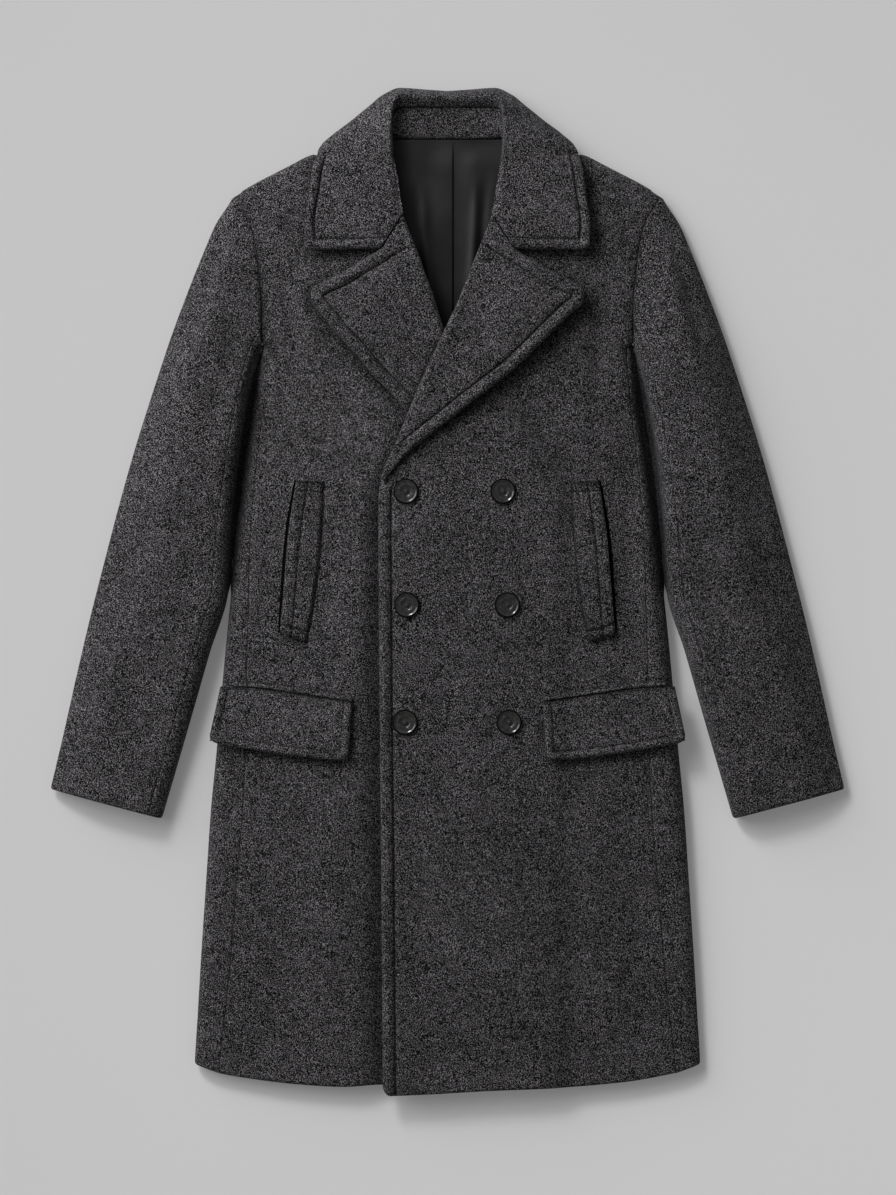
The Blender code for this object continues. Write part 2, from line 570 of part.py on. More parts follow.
def section(points, count):
    """Points on a smooth curve through a few points, one of them on the crest (the fourth point)."""
    s = np.concatenate([[0.0], np.cumsum(np.linalg.norm(np.diff(points, axis=0), axis=1))])
    crest = s[3] / s[-1]
    split = int(np.clip(round(crest * (count - 1)), CREST_COLUMN, count - 1))
    at = np.concatenate([np.linspace(0.0, crest, split + 1), np.linspace(crest, 1.0, count - split)[1:]])
    return np.stack([line(s, points[:, k])(at * s[-1]) for k in range(3)], axis=-1)


def mirrored(grid):
    """A half of a piece, from one end to the centre, and its mirror image after it."""
    return np.concatenate([grid, (grid * np.array([-1.0, 1.0, 1.0]))[-2::-1]])


def stand_seam():
    """Points of the seam between collar and stand, and the way from the neck square to the stand."""
    tops = mirrored(np.array([collar_station(k)[0] for k in range(len(COLLAR["fold_x"]))]))
    feet = np.stack([NECK["x"], NECK["y"], NECK["z"]], axis=-1)
    feet = np.concatenate([tops[:STAND_START] - np.array([0, 0, STAND_LEAST]), feet])
    feet = mirrored(feet)
    down = feet - tops
    down /= np.linalg.norm(down, axis=1, keepdims=True)
    out = np.cross(np.gradient(tops, axis=0), down)
    out /= np.linalg.norm(out, axis=1, keepdims=True)
    middle = len(tops) // 2
    return tops, feet, down, out * np.sign(out[middle, 1])


def make_collar(finish):
    rows = [section(collar_station(k), COLLAR_COLUMNS) for k in range(len(COLLAR["fold_x"]))]
    outer = mirrored(np.array(rows))
    n = normals(outer)
    inner = outer - n * COLLAR_WALL * np.sign(n[0, COLLAR_COLUMNS // 2, 2])
    out = stand_seam()[3]
    with_stand = slice(STAND_START, len(outer) - STAND_START)
    inner[with_stand, 0] = (outer[:, 0] + COLLAR_WALL * out)[with_stand]
    wall_object("collar", outer, inner, finish)


def make_stand(finish):
    """Inner stand of the collar, from the stand seam down to the neck seam."""
    tops, feet, down, out = stand_seam()
    rows = slice(STAND_START, len(tops) - STAND_START)
    outer = np.stack([tops + 2 * GAP * down, (tops + feet) / 2, feet], axis=1)[rows]
    wall_object("collar_stand", outer, outer + CLOTH * out[rows][:, None], finish)


# ---- lining, pockets and buttons -----------------------------------------------------------------------
LINING_HALF = table("y half", (236, 34), (282, 46), (350, 68), (410, 84), (450, 76), (473, 46), (480, 46))
LINING_ROWS = np.linspace(0.0, 1.0, 10)
LINING_FOOT = 238.0 * MM
LINING_TOP_GAP = 3.5 * MM     # below the neck seam
LINING_SPAN = 238.0 * MM      # from its foot to its top at the centre
LINING_CLEAR = 1.6 * MM       # more room where the back rises over the hidden fall
LINING_STEP_Y, LINING_STEP_RUN = 365.0 * MM, 20.0 * MM     # where it does
PLEAT_END_Y, PLEAT_FADE = 477.0 * MM, 40.0 * MM            # the pleat is sewn flat at its top
PLEAT_X, PLEAT_RAMP, PLEAT_RISE = 5.0 * MM, 18.0 * MM, 2.5 * MM


def make_lining(finish):
    """Back lining where the open neck shows it, with its centre pleat lying to one side."""
    ends = np.array([1.0, 0.7, 0.42])
    pleat = np.array([PLEAT_X - PLEAT_RAMP, PLEAT_X - 6 * MM, PLEAT_X, PLEAT_X + 2 * MM])
    rows = []
    for share in LINING_ROWS:
        half = line(LINING_HALF["y"], LINING_HALF["half"])(LINING_FOOT + share * LINING_SPAN)
        x = np.concatenate([-half * ends, pleat, half * ends[::-1]])
        y = LINING_FOOT + (back_neck_y(np.abs(x)) - LINING_TOP_GAP - LINING_FOOT) * share
        rows.append(np.stack([x, y], axis=-1))
    plan = np.array(rows)
    x, y = plan[..., 0], plan[..., 1]
    ramp = smooth((x - PLEAT_X + PLEAT_RAMP) / PLEAT_RAMP) * (x < PLEAT_X + 1 * MM)
    fade = smooth((PLEAT_END_Y - y) / PLEAT_FADE)
    base = underside(x, y) + CLOTH + LIE + LINING_CLEAR * smooth((y - LINING_STEP_Y) / LINING_STEP_RUN)
    panel("back_lining", x, y, base + PLEAT_RISE * ramp * fade, LINING, finish)


POCKET_INSET = 12.0 * MM      # a flap keeps the height that the cloth has this far inside the fold


def cloth_under(x, y, side):
    """Height of the cloth that a pocket piece lies on, carried on level past the side fold."""
    held = np.minimum(np.abs(x), fold_x(y) - POCKET_INSET)
    return front_outside(side * held, y, side)


def strip(name, side, upper, lower, columns, rows, lift, wall, corner, finish):
    """A flat pocket piece between an upper and a lower line, its lower corners rounded."""
    u = np.linspace(0.0, 1.0, columns)
    if corner:
        u = np.concatenate([[0.0, 0.015, 0.045], u[1:-1], [0.955, 0.985, 1.0]])
    top, foot = upper(u), lower(u)
    width = np.linalg.norm(foot[-1] - foot[0])
    end = np.clip(1.0 - np.minimum(u, 1.0 - u) * width / max(corner, 1e-6), 0.0, 1.0)
    foot[:, 1] += corner * (1.0 - np.sqrt(1.0 - end ** 2))
    v = np.linspace(0.0, 1.0, rows)[:, None, None]
    plan = top[None] * (1 - v) + foot[None] * v
    x, y = side * plan[..., 0], plan[..., 1]
    bottom = cloth_under(x, y, side) + LIE + lift * v[..., 0]
    panel(name, x, y, bottom, wall, finish)


FLAP_TOP = path((100, -115), (160, -106.2), (203, -100.4), (238.5, -98.5))
FLAP_FOOT = path((104, -176), (115, -175.8), (160, -171.6), (203, -165.5), (251, -156.5))
JET_TOP = path((100.5, -107.4), (133, -101.4), (205, -92.8), (228, -91.7))
JET_FOOT = path((100.3, -114.0), (160, -105.2), (203, -99.4), (230, -97.8))
WELT_INNER = path((127.5, 117), (131.5, 48), (138, -8), (145.5, -53))
WELT_SLIT = path((159.4, 118), (168, 60), (174, -12), (176.8, -44))
FLAP_CORNER = 8.0 * MM


def make_pockets(word, side, finish):
    strip(f"flap_{word}", side, FLAP_TOP, FLAP_FOOT, 8, 4, FLAP_LIFT, FLAP_WALL, FLAP_CORNER, finish)
    strip(f"jet_{word}", side, JET_TOP, JET_FOOT, 8, 2, 0.0, JET_WALL, 0.0, finish)
    t = np.linspace(0.0, 1.0, 9)[:, None]
    u = np.linspace(0.0, 1.0, 3)[None, :, None]
    plan = WELT_INNER(t[:, 0])[:, None] * (1 - u) + WELT_SLIT(t[:, 0])[:, None] * u
    x, y = side * plan[..., 0], plan[..., 1]
    panel(f"welt_{word}", x, y, front_outside(x, y, side) + LIE, WELT_WALL, finish)


BUTTONS = table("y inner outer", (106, -43.5, 58), (-13, -42.5, 62.5), (-136, -44.5, 64.5))
BUTTON_PROFILE = table("r z", (0, 0), (9.5, 0), (12.2, 1.1), (12.5, 2.4), (11.7, 4.1),
                       (10.4, 4.4), (8.8, 3.1), (5.0, 2.7), (4.2, 2.2), (0, 2.2))
BUTTON_SIDES = 20
HOLE_RADIUS, HOLE_CIRCLE = 1.0 * MM, 2.2 * MM


def button_mesh(finish):
    """Turned button with a rim, a dished face and four thread holes."""
    bm = bmesh.new()
    rings = []
    for r, z in zip(BUTTON_PROFILE["r"], BUTTON_PROFILE["z"]):
        if r == 0.0:
            rings.append([bm.verts.new((0.0, 0.0, z))])
            continue
        turn = [2.0 * np.pi * k / BUTTON_SIDES for k in range(BUTTON_SIDES)]
        rings.append([bm.verts.new((r * np.cos(a), r * np.sin(a), z)) for a in turn])
    for low, high in zip(rings, rings[1:]):
        for k in range(BUTTON_SIDES):
            n = (k + 1) % BUTTON_SIDES
            corners = [low[k % len(low)], low[n % len(low)], high[n % len(high)], high[k % len(high)]]
            bm.faces.new(list(dict.fromkeys(corners)))
    bmesh.ops.recalc_face_normals(bm, faces=bm.faces)
    mesh = bpy.data.meshes.new("button")
    bm.to_mesh(mesh)
    bm.free()
    mesh.materials.append(finish)
    mesh.shade_smooth()
    mesh.set_sharp_from_angle(angle=np.radians(40.0))
    return mesh


def hole_cutters():
    """Four pins through the button's face, as one cutter."""
    bm = bmesh.new()
    for k in range(4):
        turn = np.radians(45 + 90 * k)
        place = Matrix.Translation((HOLE_CIRCLE * np.cos(turn), HOLE_CIRCLE * np.sin(turn), 0.0))
        bmesh.ops.create_cone(bm, cap_ends=True, segments=8, radius1=HOLE_RADIUS, radius2=HOLE_RADIUS,
                              depth=4 * BUTTON_THICKNESS, matrix=place)
    mesh = bpy.data.meshes.new("button_holes")
    bm.to_mesh(mesh)
    bm.free()
    cutter = bpy.data.objects.new("button_holes", mesh)
    cutter.hide_render = True
    cutter.display_type = "WIRE"
    bpy.context.collection.objects.link(cutter)
    return cutter


def make_buttons(finish):
    plain, cutter = button_mesh(finish), hole_cutters()
    step = 4 * MM
    for row in range(3):
        for column, name in enumerate(("inner", "outer")):
            x, y = BUTTONS[name][row], BUTTONS["y"][row]
            across, along = np.array([0, step, -step, 0, 0]), np.array([0, 0, 0, step, -step])
            at = front_outside(x + across, y + along, 1)
            normal = Vector((at[2] - at[1], at[4] - at[3], 2 * step)).normalized()
            button = bpy.data.objects.new(f"button_{row + 1}_{column + 1}", plain)
            bpy.context.collection.objects.link(button)
            button.rotation_euler = normal.to_track_quat("Z", "Y").to_euler()
            button.location = Vector((x, y, at[0])) + normal * 2.5 * GAP
            cutter_here = button.modifiers.new("holes", "BOOLEAN")
            cutter_here.object = cutter
            cutter_here.solver = "EXACT"
            pins = cutter if (row, column) == (0, 0) else cutter.copy()
            if pins is not cutter:
                bpy.context.collection.objects.link(pins)
                cutter_here.object = pins
            pins.parent = button


def build():
    for thing in list(bpy.data.objects):
        bpy.data.objects.remove(thing, do_unlink=True)
    wool = material("wool", (0.045, 0.046, 0.048), 0.95)
    satin = material("satin_lining", (0.012, 0.012, 0.014), 0.45)
    horn = material("button_plastic", (0.012, 0.012, 0.013), 0.25)
    make_back(wool)
    make_lining(satin)
    for side, word in ((1, "left"), (-1, "right")):
        make_front(f"front_{word}", side, wool)
        make_side(f"side_{word}", side, wool)
        make_sleeve(f"sleeve_top_{word}", f"sleeve_under_{word}", side, wool)
        make_lapel(f"lapel_{word}", side, wool)
        make_pockets(word, side, wool)
    make_collar(wool)
    make_stand(wool)
    make_buttons(horn)


build()
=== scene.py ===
import bpy
import numpy as np
from mathutils import Matrix, Vector


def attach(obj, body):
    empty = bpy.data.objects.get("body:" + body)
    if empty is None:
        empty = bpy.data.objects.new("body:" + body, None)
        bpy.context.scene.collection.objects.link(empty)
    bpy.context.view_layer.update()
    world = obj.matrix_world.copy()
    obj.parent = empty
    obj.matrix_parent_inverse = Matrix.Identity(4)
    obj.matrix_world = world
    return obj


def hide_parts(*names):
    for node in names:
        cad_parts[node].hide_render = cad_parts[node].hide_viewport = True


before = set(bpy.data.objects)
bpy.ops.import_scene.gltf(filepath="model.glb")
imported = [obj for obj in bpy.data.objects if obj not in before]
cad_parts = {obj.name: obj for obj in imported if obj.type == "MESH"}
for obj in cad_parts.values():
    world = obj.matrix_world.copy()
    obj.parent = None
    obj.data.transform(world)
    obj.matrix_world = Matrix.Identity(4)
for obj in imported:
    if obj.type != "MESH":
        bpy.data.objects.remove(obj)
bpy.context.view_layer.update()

MM = 0.001

# ---- the coat's measures ---------------------------------------------------------------------------
CLOTH = 3.0 * MM             # wall of the heavy wool cloth
LINING = 1.0 * MM            # wall of the satin lining
EDGE_WALL = 5.0 * MM         # where a facing lies behind the cloth, and at the fronts' hems
LAPEL_WALL = 4.5 * MM
COLLAR_WALL = 4.5 * MM
FLAP_WALL = 4.5 * MM
WELT_WALL = 3.5 * MM
JET_WALL = 2.0 * MM
GAP = 0.06 * MM              # between neighbouring pieces at a seam
LIE = 0.9 * MM               # under a piece that lies on another one
SIDE_ROLL = 9.0 * MM         # radius on which a fold lies at the side
FOLD_REACH = 16.0 * MM       # width of the round shoulder of a fold, seen from above
CROWN_REACH = 190.0 * MM     # width over which the cloth still rises behind a fold
FOLD_SHARE = 0.6             # part of the rise that the round shoulder takes
OVERLAP_PAST = 6.0 * MM      # the upper front stays level this far past the under front's edge
OVERLAP_SLOPE = 30.0 * MM    # and steps down to it over this width
ROLL_RISE = 9.0 * MM         # how far a lapel's roll lifts the front below it
ROLL_DECAY = 40.0 * MM       # and how fast that lift dies out away from the roll
SHOULDER_QUIET = 45.0 * MM   # and over how much cloth it does so towards the shoulder seam
LAPEL_LIFT = 8.0 * MM        # how far a lapel's free edge stands off the front
STITCH = 13.4 * MM           # topstitching runs this far inside a finished edge
AWAY = 1.0                   # a distance from every edge, in metres, at which nothing shows
HEM_DEPTH, HEM_FADE = 34.0 * MM, 8.0 * MM        # of the cloth turned up at a hem
HEM_EXTRA, BACK_HEM_EXTRA = 1.8 * MM, 1.2 * MM   # how much thicker it makes the wall there


def table(names, *rows):
    """Columns of a small table as arrays, in metres."""
    return dict(zip(names.split(), np.array(rows, float).T * MM))


def smooth(t):
    """Soft step: 0 up to t = 0, 1 from t = 1."""
    t = np.clip(t, 0.0, 1.0)
    return t * t * (3.0 - 2.0 * t)


def bell(t):
    """Hump of height 1 round t = 0."""
    return np.exp(-t * t)


def unit(ways):
    """The same directions, each of length 1."""
    return ways / np.linalg.norm(ways, axis=-1, keepdims=True)


def run_of(points):
    """Length of a line of points from its start to each of them."""
    return np.concatenate([[0.0], np.cumsum(np.linalg.norm(np.diff(points, axis=0), axis=1))])


def points_of(*axes):
    """Points from an array of each of their coordinates."""
    return np.stack(axes, axis=-1)


def line(x, y):
    """Smooth function through the points (x, y), x rising, that never overshoots them."""
    x, y = np.asarray(x, float), np.asarray(y, float)
    h, slope = np.diff(x), np.diff(y) / np.diff(x)
    tangent = np.concatenate([slope[:1], np.zeros(len(x) - 2), slope[-1:]])
    same = slope[:-1] * slope[1:] > 0.0
    w1, w2 = 2.0 * h[1:] + h[:-1], h[1:] + 2.0 * h[:-1]
    safe = np.where(same, slope[:-1] * slope[1:], 1.0)
    mean = (w1 + w2) * safe / np.where(same, w1 * slope[1:] + w2 * slope[:-1], 1.0)
    tangent[1:-1] = np.where(same, mean, 0.0)

    def value(at):
        at = np.clip(at, x[0], x[-1])
        i = np.clip(np.searchsorted(x, at, side="right") - 1, 0, len(h) - 1)
        t = (at - x[i]) / h[i]
        rise = t * t * (3.0 - 2.0 * t)
        return (y[i] + (y[i + 1] - y[i]) * rise + h[i] * tangent[i] * t * (1.0 - t) ** 2
                - h[i] * tangent[i + 1] * t * t * (1.0 - t))
    return value


def path(*points):
    """Smooth curve P(t), t from 0 to 1 by length, through points in millimetres."""
    p = np.array(points, float) * MM
    s = run_of(p)
    axes = [line(s / s[-1], p[:, k]) for k in range(p.shape[1])]

    def curve(t):
        return points_of(*(axis(t) for axis in axes))
    curve.length = s[-1]
    return curve


# ---- outlines, in millimetres ----------------------------------------------------------------------
# half widths of the body to its side fold, to the seam of its front and to that of its back, and the
# height of its middle
BODY = table("y fold seam under crown",
             (-500, 266, 240, 236, 20), (-480, 265, 238, 235, 21), (-408, 261, 230, 231, 25),
             (-300, 254, 221, 224, 28), (-227, 249, 215, 219, 30), (-165, 243, 212, 213, 32),
             (-95, 237, 211, 207, 34), (-23, 230, 209, 200, 35), (55, 221, 207, 192, 37),
             (135, 211, 201, 186, 38), (215, 199, 192, 184, 38), (256, 195.5, 189, 187, 37))
# the same above the armhole's lower end, where the sleeves take the place of the side fold
ABOVE = table("y fold crown", (262, 200, 37), (275, 207, 37), (300, 218, 36), (340, 232, 35),
              (380, 245, 33), (420, 250, 31), (500, 252, 28))
ARMHOLE = table("y x",
                (259, 195.5), (263, 195.3), (300, 195.3), (326, 197.3), (350, 200), (369, 202.7),
                (388, 208), (403, 216), (416.3, 226))
# shoulder line and hems: y over x
SHOULDER = table("x y", (0, 497), (62, 490), (100, 474), (116, 463.5), (128, 461), (137, 461.3), (143, 460),
                 (150, 457), (160, 451.8), (175, 444.3), (210, 426.3), (220, 420), (226, 416.3))
HEM_LEFT = table("x y", (-70, -527), (-62, -529), (-30, -528), (42, -524), (115, -521), (187, -515),
                 (238, -506), (256, -502), (266, -495))
HEM_RIGHT = table("x y", (-100, -518), (71, -518), (109, -520), (156, -517.5), (211, -511), (240, -506),
                  (256, -502), (266, -495))
HEM_BACK_RISE = 12.0 * MM     # the back's hem lies this far above the front's
NECK_HALF = 62.0 * MM         # half the width of the back's neck, where the shoulders begin
BACK_NECK = table("x y", (0, 477), (25, 478), (45, 483), (62, 494))
# inner edge of each front: front edge, then the roll of its lapel, then the neck. For the right front
# x is taken towards the wearer's right.
NECK_EDGE = ((351, 29), (389, 44), (396, 46.5), (410, 58), (428, 64), (455, 68), (478, 69), (496, 69))
FRONT_EDGE = table("y x",
                   (-527, -67.8), (-400, -68.8), (-270, -69.8), (-155, -71), (-39, -71.8), (56, -72.6),
                   (100, -72.6), (116, -70.5), (134, -64.5), (160, -53), (215, -30.5), (277, -2.3),
                   (305, 11), (328, 20), *NECK_EDGE)
UNDER_EDGE = table("y x",
                   (-520, -99), (116, -98), (150, -78), (195, -46), (240, -18), (282, 5), (313, 15),
                   (328, 21), *NECK_EDGE)
FAR = 600.0 * MM              # beyond every edge of the coat
BREAK_Y = 116.0 * MM          # the left lapel's roll starts here
V_POINT_Y = 282.0 * MM        # the two rolls cross about here
ROLL_SLANT = 0.87             # turns a level distance into one square to the roll
ROLL_RUN = {1: 64.0 * MM, -1: 50.0 * MM}           # over which a lapel's roll lifts its front
SHOULDER_FALL = np.radians(27.0)
HEM_Y, SHOULDER_END_Y = -506 * MM, 416.3 * MM      # where the side seam and the armhole end

fold_x = line(np.append(BODY["y"], ABOVE["y"]), np.append(BODY["fold"], ABOVE["fold"]))
crown_z = line(np.append(BODY["y"], ABOVE["y"]), np.append(BODY["crown"], ABOVE["crown"]))
outer_seam_x = line(np.append(BODY["y"], ARMHOLE["y"][1:]), np.append(BODY["seam"], ARMHOLE["x"][1:]))
under_seam_x = line(np.append(BODY["y"], ARMHOLE["y"][1:]), np.append(BODY["under"], ARMHOLE["x"][1:]))
armhole_x = line(ARMHOLE["y"], ARMHOLE["x"])
shoulder_y = line(SHOULDER["x"], SHOULDER["y"])
hem_left_y = line(HEM_LEFT["x"], HEM_LEFT["y"])
hem_right_y = line(HEM_RIGHT["x"], HEM_RIGHT["y"])
back_neck_y = line(BACK_NECK["x"], BACK_NECK["y"])
front_edge_x = line(FRONT_EDGE["y"], FRONT_EDGE["x"])
under_edge_x = line(UNDER_EDGE["y"], UNDER_EDGE["x"])


# ---- form of the lying coat ------------------------------------------------------------------------
# In all that follows, side is 1 for the wearer's left and -1 for the right.
BED_RUN = 2.5 * MM            # distance from the silhouette over which the bed under the back begins
BED_START, BED_RISE = 395.0 * MM, 30.0 * MM     # height up the back where it begins, and its run
BED_HALF, BED_FADE = 155.0 * MM, 15.0 * MM      # half its width, and the run at its sides


def fold_rise(inset):
    """How far the cloth has risen, 0 to 1, at the distance inset from a fold."""
    round_part = np.sqrt(np.clip(1.0 - (1.0 - np.clip(inset / FOLD_REACH, 0.0, 1.0)) ** 2, 0.0, 1.0))
    return FOLD_SHARE * round_part + (1.0 - FOLD_SHARE) * smooth(inset / CROWN_REACH)


def below_shoulder(x, y):
    """Distance from the shoulder line."""
    return (shoulder_y(np.abs(x)) - y) * np.cos(SHOULDER_FALL)


def form(x, y):
    """Height of the lying body, without its laps and rolls."""
    side = fold_rise(fold_x(y) - np.abs(x))
    shoulder = fold_rise(below_shoulder(x, y))
    return SIDE_ROLL + (crown_z(y) - SIDE_ROLL) * side * shoulder


def underside(x, y):
    """Height of the body's lower face: round at the sides, raised where the collar lies under it."""
    inset = np.minimum(fold_x(y) - np.abs(x), below_shoulder(x, y))
    t = 1.0 - np.clip(inset / SIDE_ROLL, 0.0, 1.0)
    along, across = smooth((y - BED_START) / BED_RISE), smooth((BED_HALF - np.abs(x)) / BED_FADE)
    bed = (COLLAR_WALL + LIE) * along * across * smooth(inset / BED_RUN)
    return SIDE_ROLL - (SIDE_ROLL - bed) * np.sqrt(1.0 - t * t)


def overlap(x, y):
    """1 where the upper front lies on the under one, 0 beyond it."""
    return smooth((OVERLAP_PAST + OVERLAP_SLOPE - under_edge_x(y) - x) / OVERLAP_SLOPE)


def off_roll(x, y, side):
    """Distance from a lapel's roll, 0 on the far side of it."""
    edge = front_edge_x if side > 0 else under_edge_x
    return np.clip(side * x - edge(y), 0.0, None) * ROLL_SLANT


def front_outside(x, y, side):
    """Height of a front's outer face, without its creases."""
    step = (LIE + EDGE_WALL) * overlap(x, y) if side > 0 else 0.0
    start = BREAK_Y if side > 0 else V_POINT_Y
    rise = ROLL_RISE * smooth((y - start) / ROLL_RUN[side]) * smooth(below_shoulder(x, y) / SHOULDER_QUIET)
    return form(x, y) + step + rise * np.exp(-off_roll(x, y, side) / ROLL_DECAY)


# ---- creases and drapes of the lying cloth ----------------------------------------------------------
def off_line(x, y, points):
    """Distance of the points (x, y) from a bent line, and how far along it they lie, 0 to 1."""
    p = np.array(points, float) * MM
    lengths = np.linalg.norm(np.diff(p, axis=0), axis=1)
    total, gone = lengths.sum(), 0.0
    best, along = np.full(np.shape(x), 9.0), np.zeros(np.shape(x))
    for a, b, length in zip(p, p[1:], lengths):
        if length == 0.0:
            continue
        way = (b - a) / length
        t = np.clip((x - a[0]) * way[0] + (y - a[1]) * way[1], 0.0, length)
        d = np.hypot(x - a[0] - t * way[0], y - a[1] - t * way[1])
        nearer = d < best
        best, along = np.where(nearer, d, best), np.where(nearer, (gone + t) / total, along)
        gone += length
    return best, along


def creases(x, y, lines):
    """Soft troughs and ridges: each line is (height, width, its points), fading out at its ends."""
    z = np.zeros(np.shape(x))
    for height, width, points in lines:
        d, along = off_line(x, y, points)
        ends = smooth(along / CREASE_FADE) * smooth((1.0 - along) / CREASE_FADE)
        z += height * MM * bell(d / (width * MM)) * ends
    return z


CREASE_FADE = 0.3            # share of a crease's length over which it fades out at each end
# height, width, points: troughs are below zero. In the coat's frame, in millimetres.
BODY_CREASES = (
    (-2.2, 9, ((-153, 472), (-157, 430), (-159, 390), (-158, 340))),
    (-1.7, 9, ((155, 472), (160, 430), (162, 390), (161, 340))),
    (-2.4, 9, ((-152, 300), (-118, 262), (-84, 232), (-48, 202))),
    (-3.2, 9, ((-172, 352), (-168, 310), (-160, 262), (-158, 215))),
    (1.8, 12, ((-148, 345), (-146, 300), (-140, 240), (-138, 170))),
    (-2.4, 13, ((-190, 270), (-188, 180), (-184, 80), (-180, -30))),
    (1.6, 14, ((-166, 150), (-196, 60), (-206, -40), (-212, -95))),
    (-1.8, 12, ((-118, 250), (-112, 180), (-104, 96), (-100, 20))),
    (1.3, 18, ((-96, 200), (-92, 60), (-96, -60), (-104, -160))),
    (-2.6, 10, ((170, 345), (164, 300), (158, 250), (156, 196))),
    (1.7, 12, ((146, 300), (142, 250), (138, 190), (136, 140))),
    (-2.4, 13, ((196, 250), (196, 160), (192, 60), (190, -40))),
    (1.5, 13, ((206, 60), (214, -20), (222, -90), (226, -130))),
    (1.5, 20, ((-40, 92), (-30, 40), (-30, -30))),
    (-2.0, 24, ((80, 90), (92, 10), (98, -80), (90, -150))),
    (1.6, 22, ((122, -60), (128, -20), (126, 60))),
    (-1.2, 30, ((-30, -150), (-40, -240), (-46, -360), (-48, -480))),
    (-1.4, 16, ((20, 96), (14, 10), (10, -90), (4, -180))),
    (1.1, 18, ((34, 60), (30, -40), (26, -160), (22, -280))),
    (-1.5, 22, ((96, -190), (104, -290), (110, -390), (112, -480))),
    (1.7, 24, ((52, -200), (58, -310), (60, -420), (58, -520))),
    (-1.6, 24, ((-150, -200), (-156, -300), (-166, -400), (-172, -490))),
    (1.8, 22, ((-120, -190), (-128, -300), (-134, -410), (-136, -500))),
    (-1.3, 20, ((180, -190), (192, -290), (200, -390), (206, -480))),
    (1.5, 24, ((150, -200), (156, -300), (160, -420), (162, -510))),
    (-1.6, 20, ((-212, -190), (-218, -280), (-224, -380), (-230, -470))),
    (-1.2, 9, ((150, 236), (120, 226), (96, 206))),
    (-1.3, 9, ((-176, 236), (-150, 226), (-128, 204))),
    (-1.0, 8, ((222, 396), (196, 386), (170, 380))),
    (-1.0, 8, ((-222, 396), (-196, 386), (-170, 380))))
SLEEVE_CREASES = {
    -1: ((-2.6, 8, ((-236, 402), (-246, 350), (-262, 292), (-276, 236))),
         (2.0, 8, ((-226, 398), (-234, 346), (-250, 286), (-262, 232))),
         (-1.8, 9, ((-214, 320), (-222, 270), (-236, 214), (-246, 160))),
         (1.4, 12, ((-262, 230), (-282, 150), (-300, 60), (-318, -30))),
         (-1.6, 14, ((-296, 200), (-316, 120), (-336, 30), (-352, -60))),
         (-1.5, 13, ((-244, 110), (-262, 40), (-284, -40), (-304, -110))),
         (1.3, 16, ((-330, 20), (-346, -60), (-360, -130), (-370, -190))),
         (-1.6, 9, ((-226, 96), (-252, 80), (-284, 78), (-310, 88))),
         (-1.3, 9, ((-232, 26), (-262, 14), (-292, 18))),
         (1.2, 10, ((-230, 62), (-262, 48), (-292, 50))),
         (-1.3, 12, ((-332, -60), (-346, -120), (-360, -180), (-372, -220)))),
    1: ((-2.4, 8, ((234, 400), (246, 346), (262, 286), (278, 226))),
        (1.9, 8, ((224, 392), (234, 340), (248, 282), (262, 226))),
        (-2.0, 9, ((212, 322), (220, 268), (232, 210), (244, 156))),
        (1.5, 12, ((264, 214), (284, 130), (304, 40), (320, -40))),
        (-1.7, 14, ((300, 190), (322, 100), (340, 14), (354, -70))),
        (-1.5, 13, ((246, 96), (266, 22), (288, -54), (306, -120))),
        (1.3, 16, ((334, 4), (350, -80), (364, -150), (374, -200))),
        (-1.7, 9, ((228, 80), (256, 62), (290, 62), (318, 76))),
        (-1.2, 9, ((234, 10), (266, -2), (298, 4))),
        (1.3, 10, ((232, 44), (264, 30), (296, 34))),
        (-1.2, 12, ((336, -76), (350, -132), (362, -190), (374, -226))))}


# slow waves over the cloth: share of the height, radians a metre along x and y, shift
BODY_SWING = ((0.5, 17, 6, 0.0), (0.35, 31, -11, 1.3), (0.25, 47, 29, 0.6), (0.2, 13, -43, 2.1))
SLEEVE_SWING = ((0.5, 9, 23, 0.0), (0.4, -13, 41, 1.0), (0.3, 57, 19, 0.0))
BODY_SWAY, SLEEVE_SWAY = 0.7 * MM, 0.6 * MM         # their heights
SHOULDER_CALM, FOLD_CALM = 30.0 * MM, 16.0 * MM     # creases are full this far from shoulder and fold


def swings(x, y, waves, side=1):
    """Sum of the waves, about -1 to 1. Their shift is turned round where side is -1."""
    return sum(share * np.sin(ax * x + ay * y + shift * side) for share, ax, ay, shift in waves)


def off_fold(x, y):
    """0 on the side fold, 1 where the body's creases are at their full height."""
    return smooth((fold_x(y) - np.abs(x)) / FOLD_CALM)


def body_relief(x, y):
    """Soft unevenness of the fronts, quiet near the shoulder line and the side fold."""
    quiet = smooth(below_shoulder(x, y) / SHOULDER_CALM) * off_fold(x, y)
    return (creases(x, y, BODY_CREASES) + BODY_SWAY * swings(x, y, BODY_SWING)) * quiet


# ---- meshes ----------------------------------------------------------------------------------------
def spaced(length, count, start=(), end=(), slant=1.0):
    """Places along a side: fixed steps near its start and its end, even ones between. Length and
    slant, by which the steps are stretched, may be a column of numbers, one for each row."""
    length = np.atleast_1d(length).astype(float)[:, None]
    start, end = np.array((0.0, *start)) * MM, np.array((0.0, *end)) * MM
    fit = np.minimum(np.reshape(slant, (-1, 1)), 0.8 * length / (start[-1] + end[-1] + 1e-9))
    low, high = start[None] * fit, length - end[None, ::-1] * fit
    share = np.linspace(0.0, 1.0, count + 2)[None, 1:-1]
    even = low[:, -1:] + (high[:, :1] - low[:, -1:]) * share
    return np.concatenate([low, even, high], axis=1)


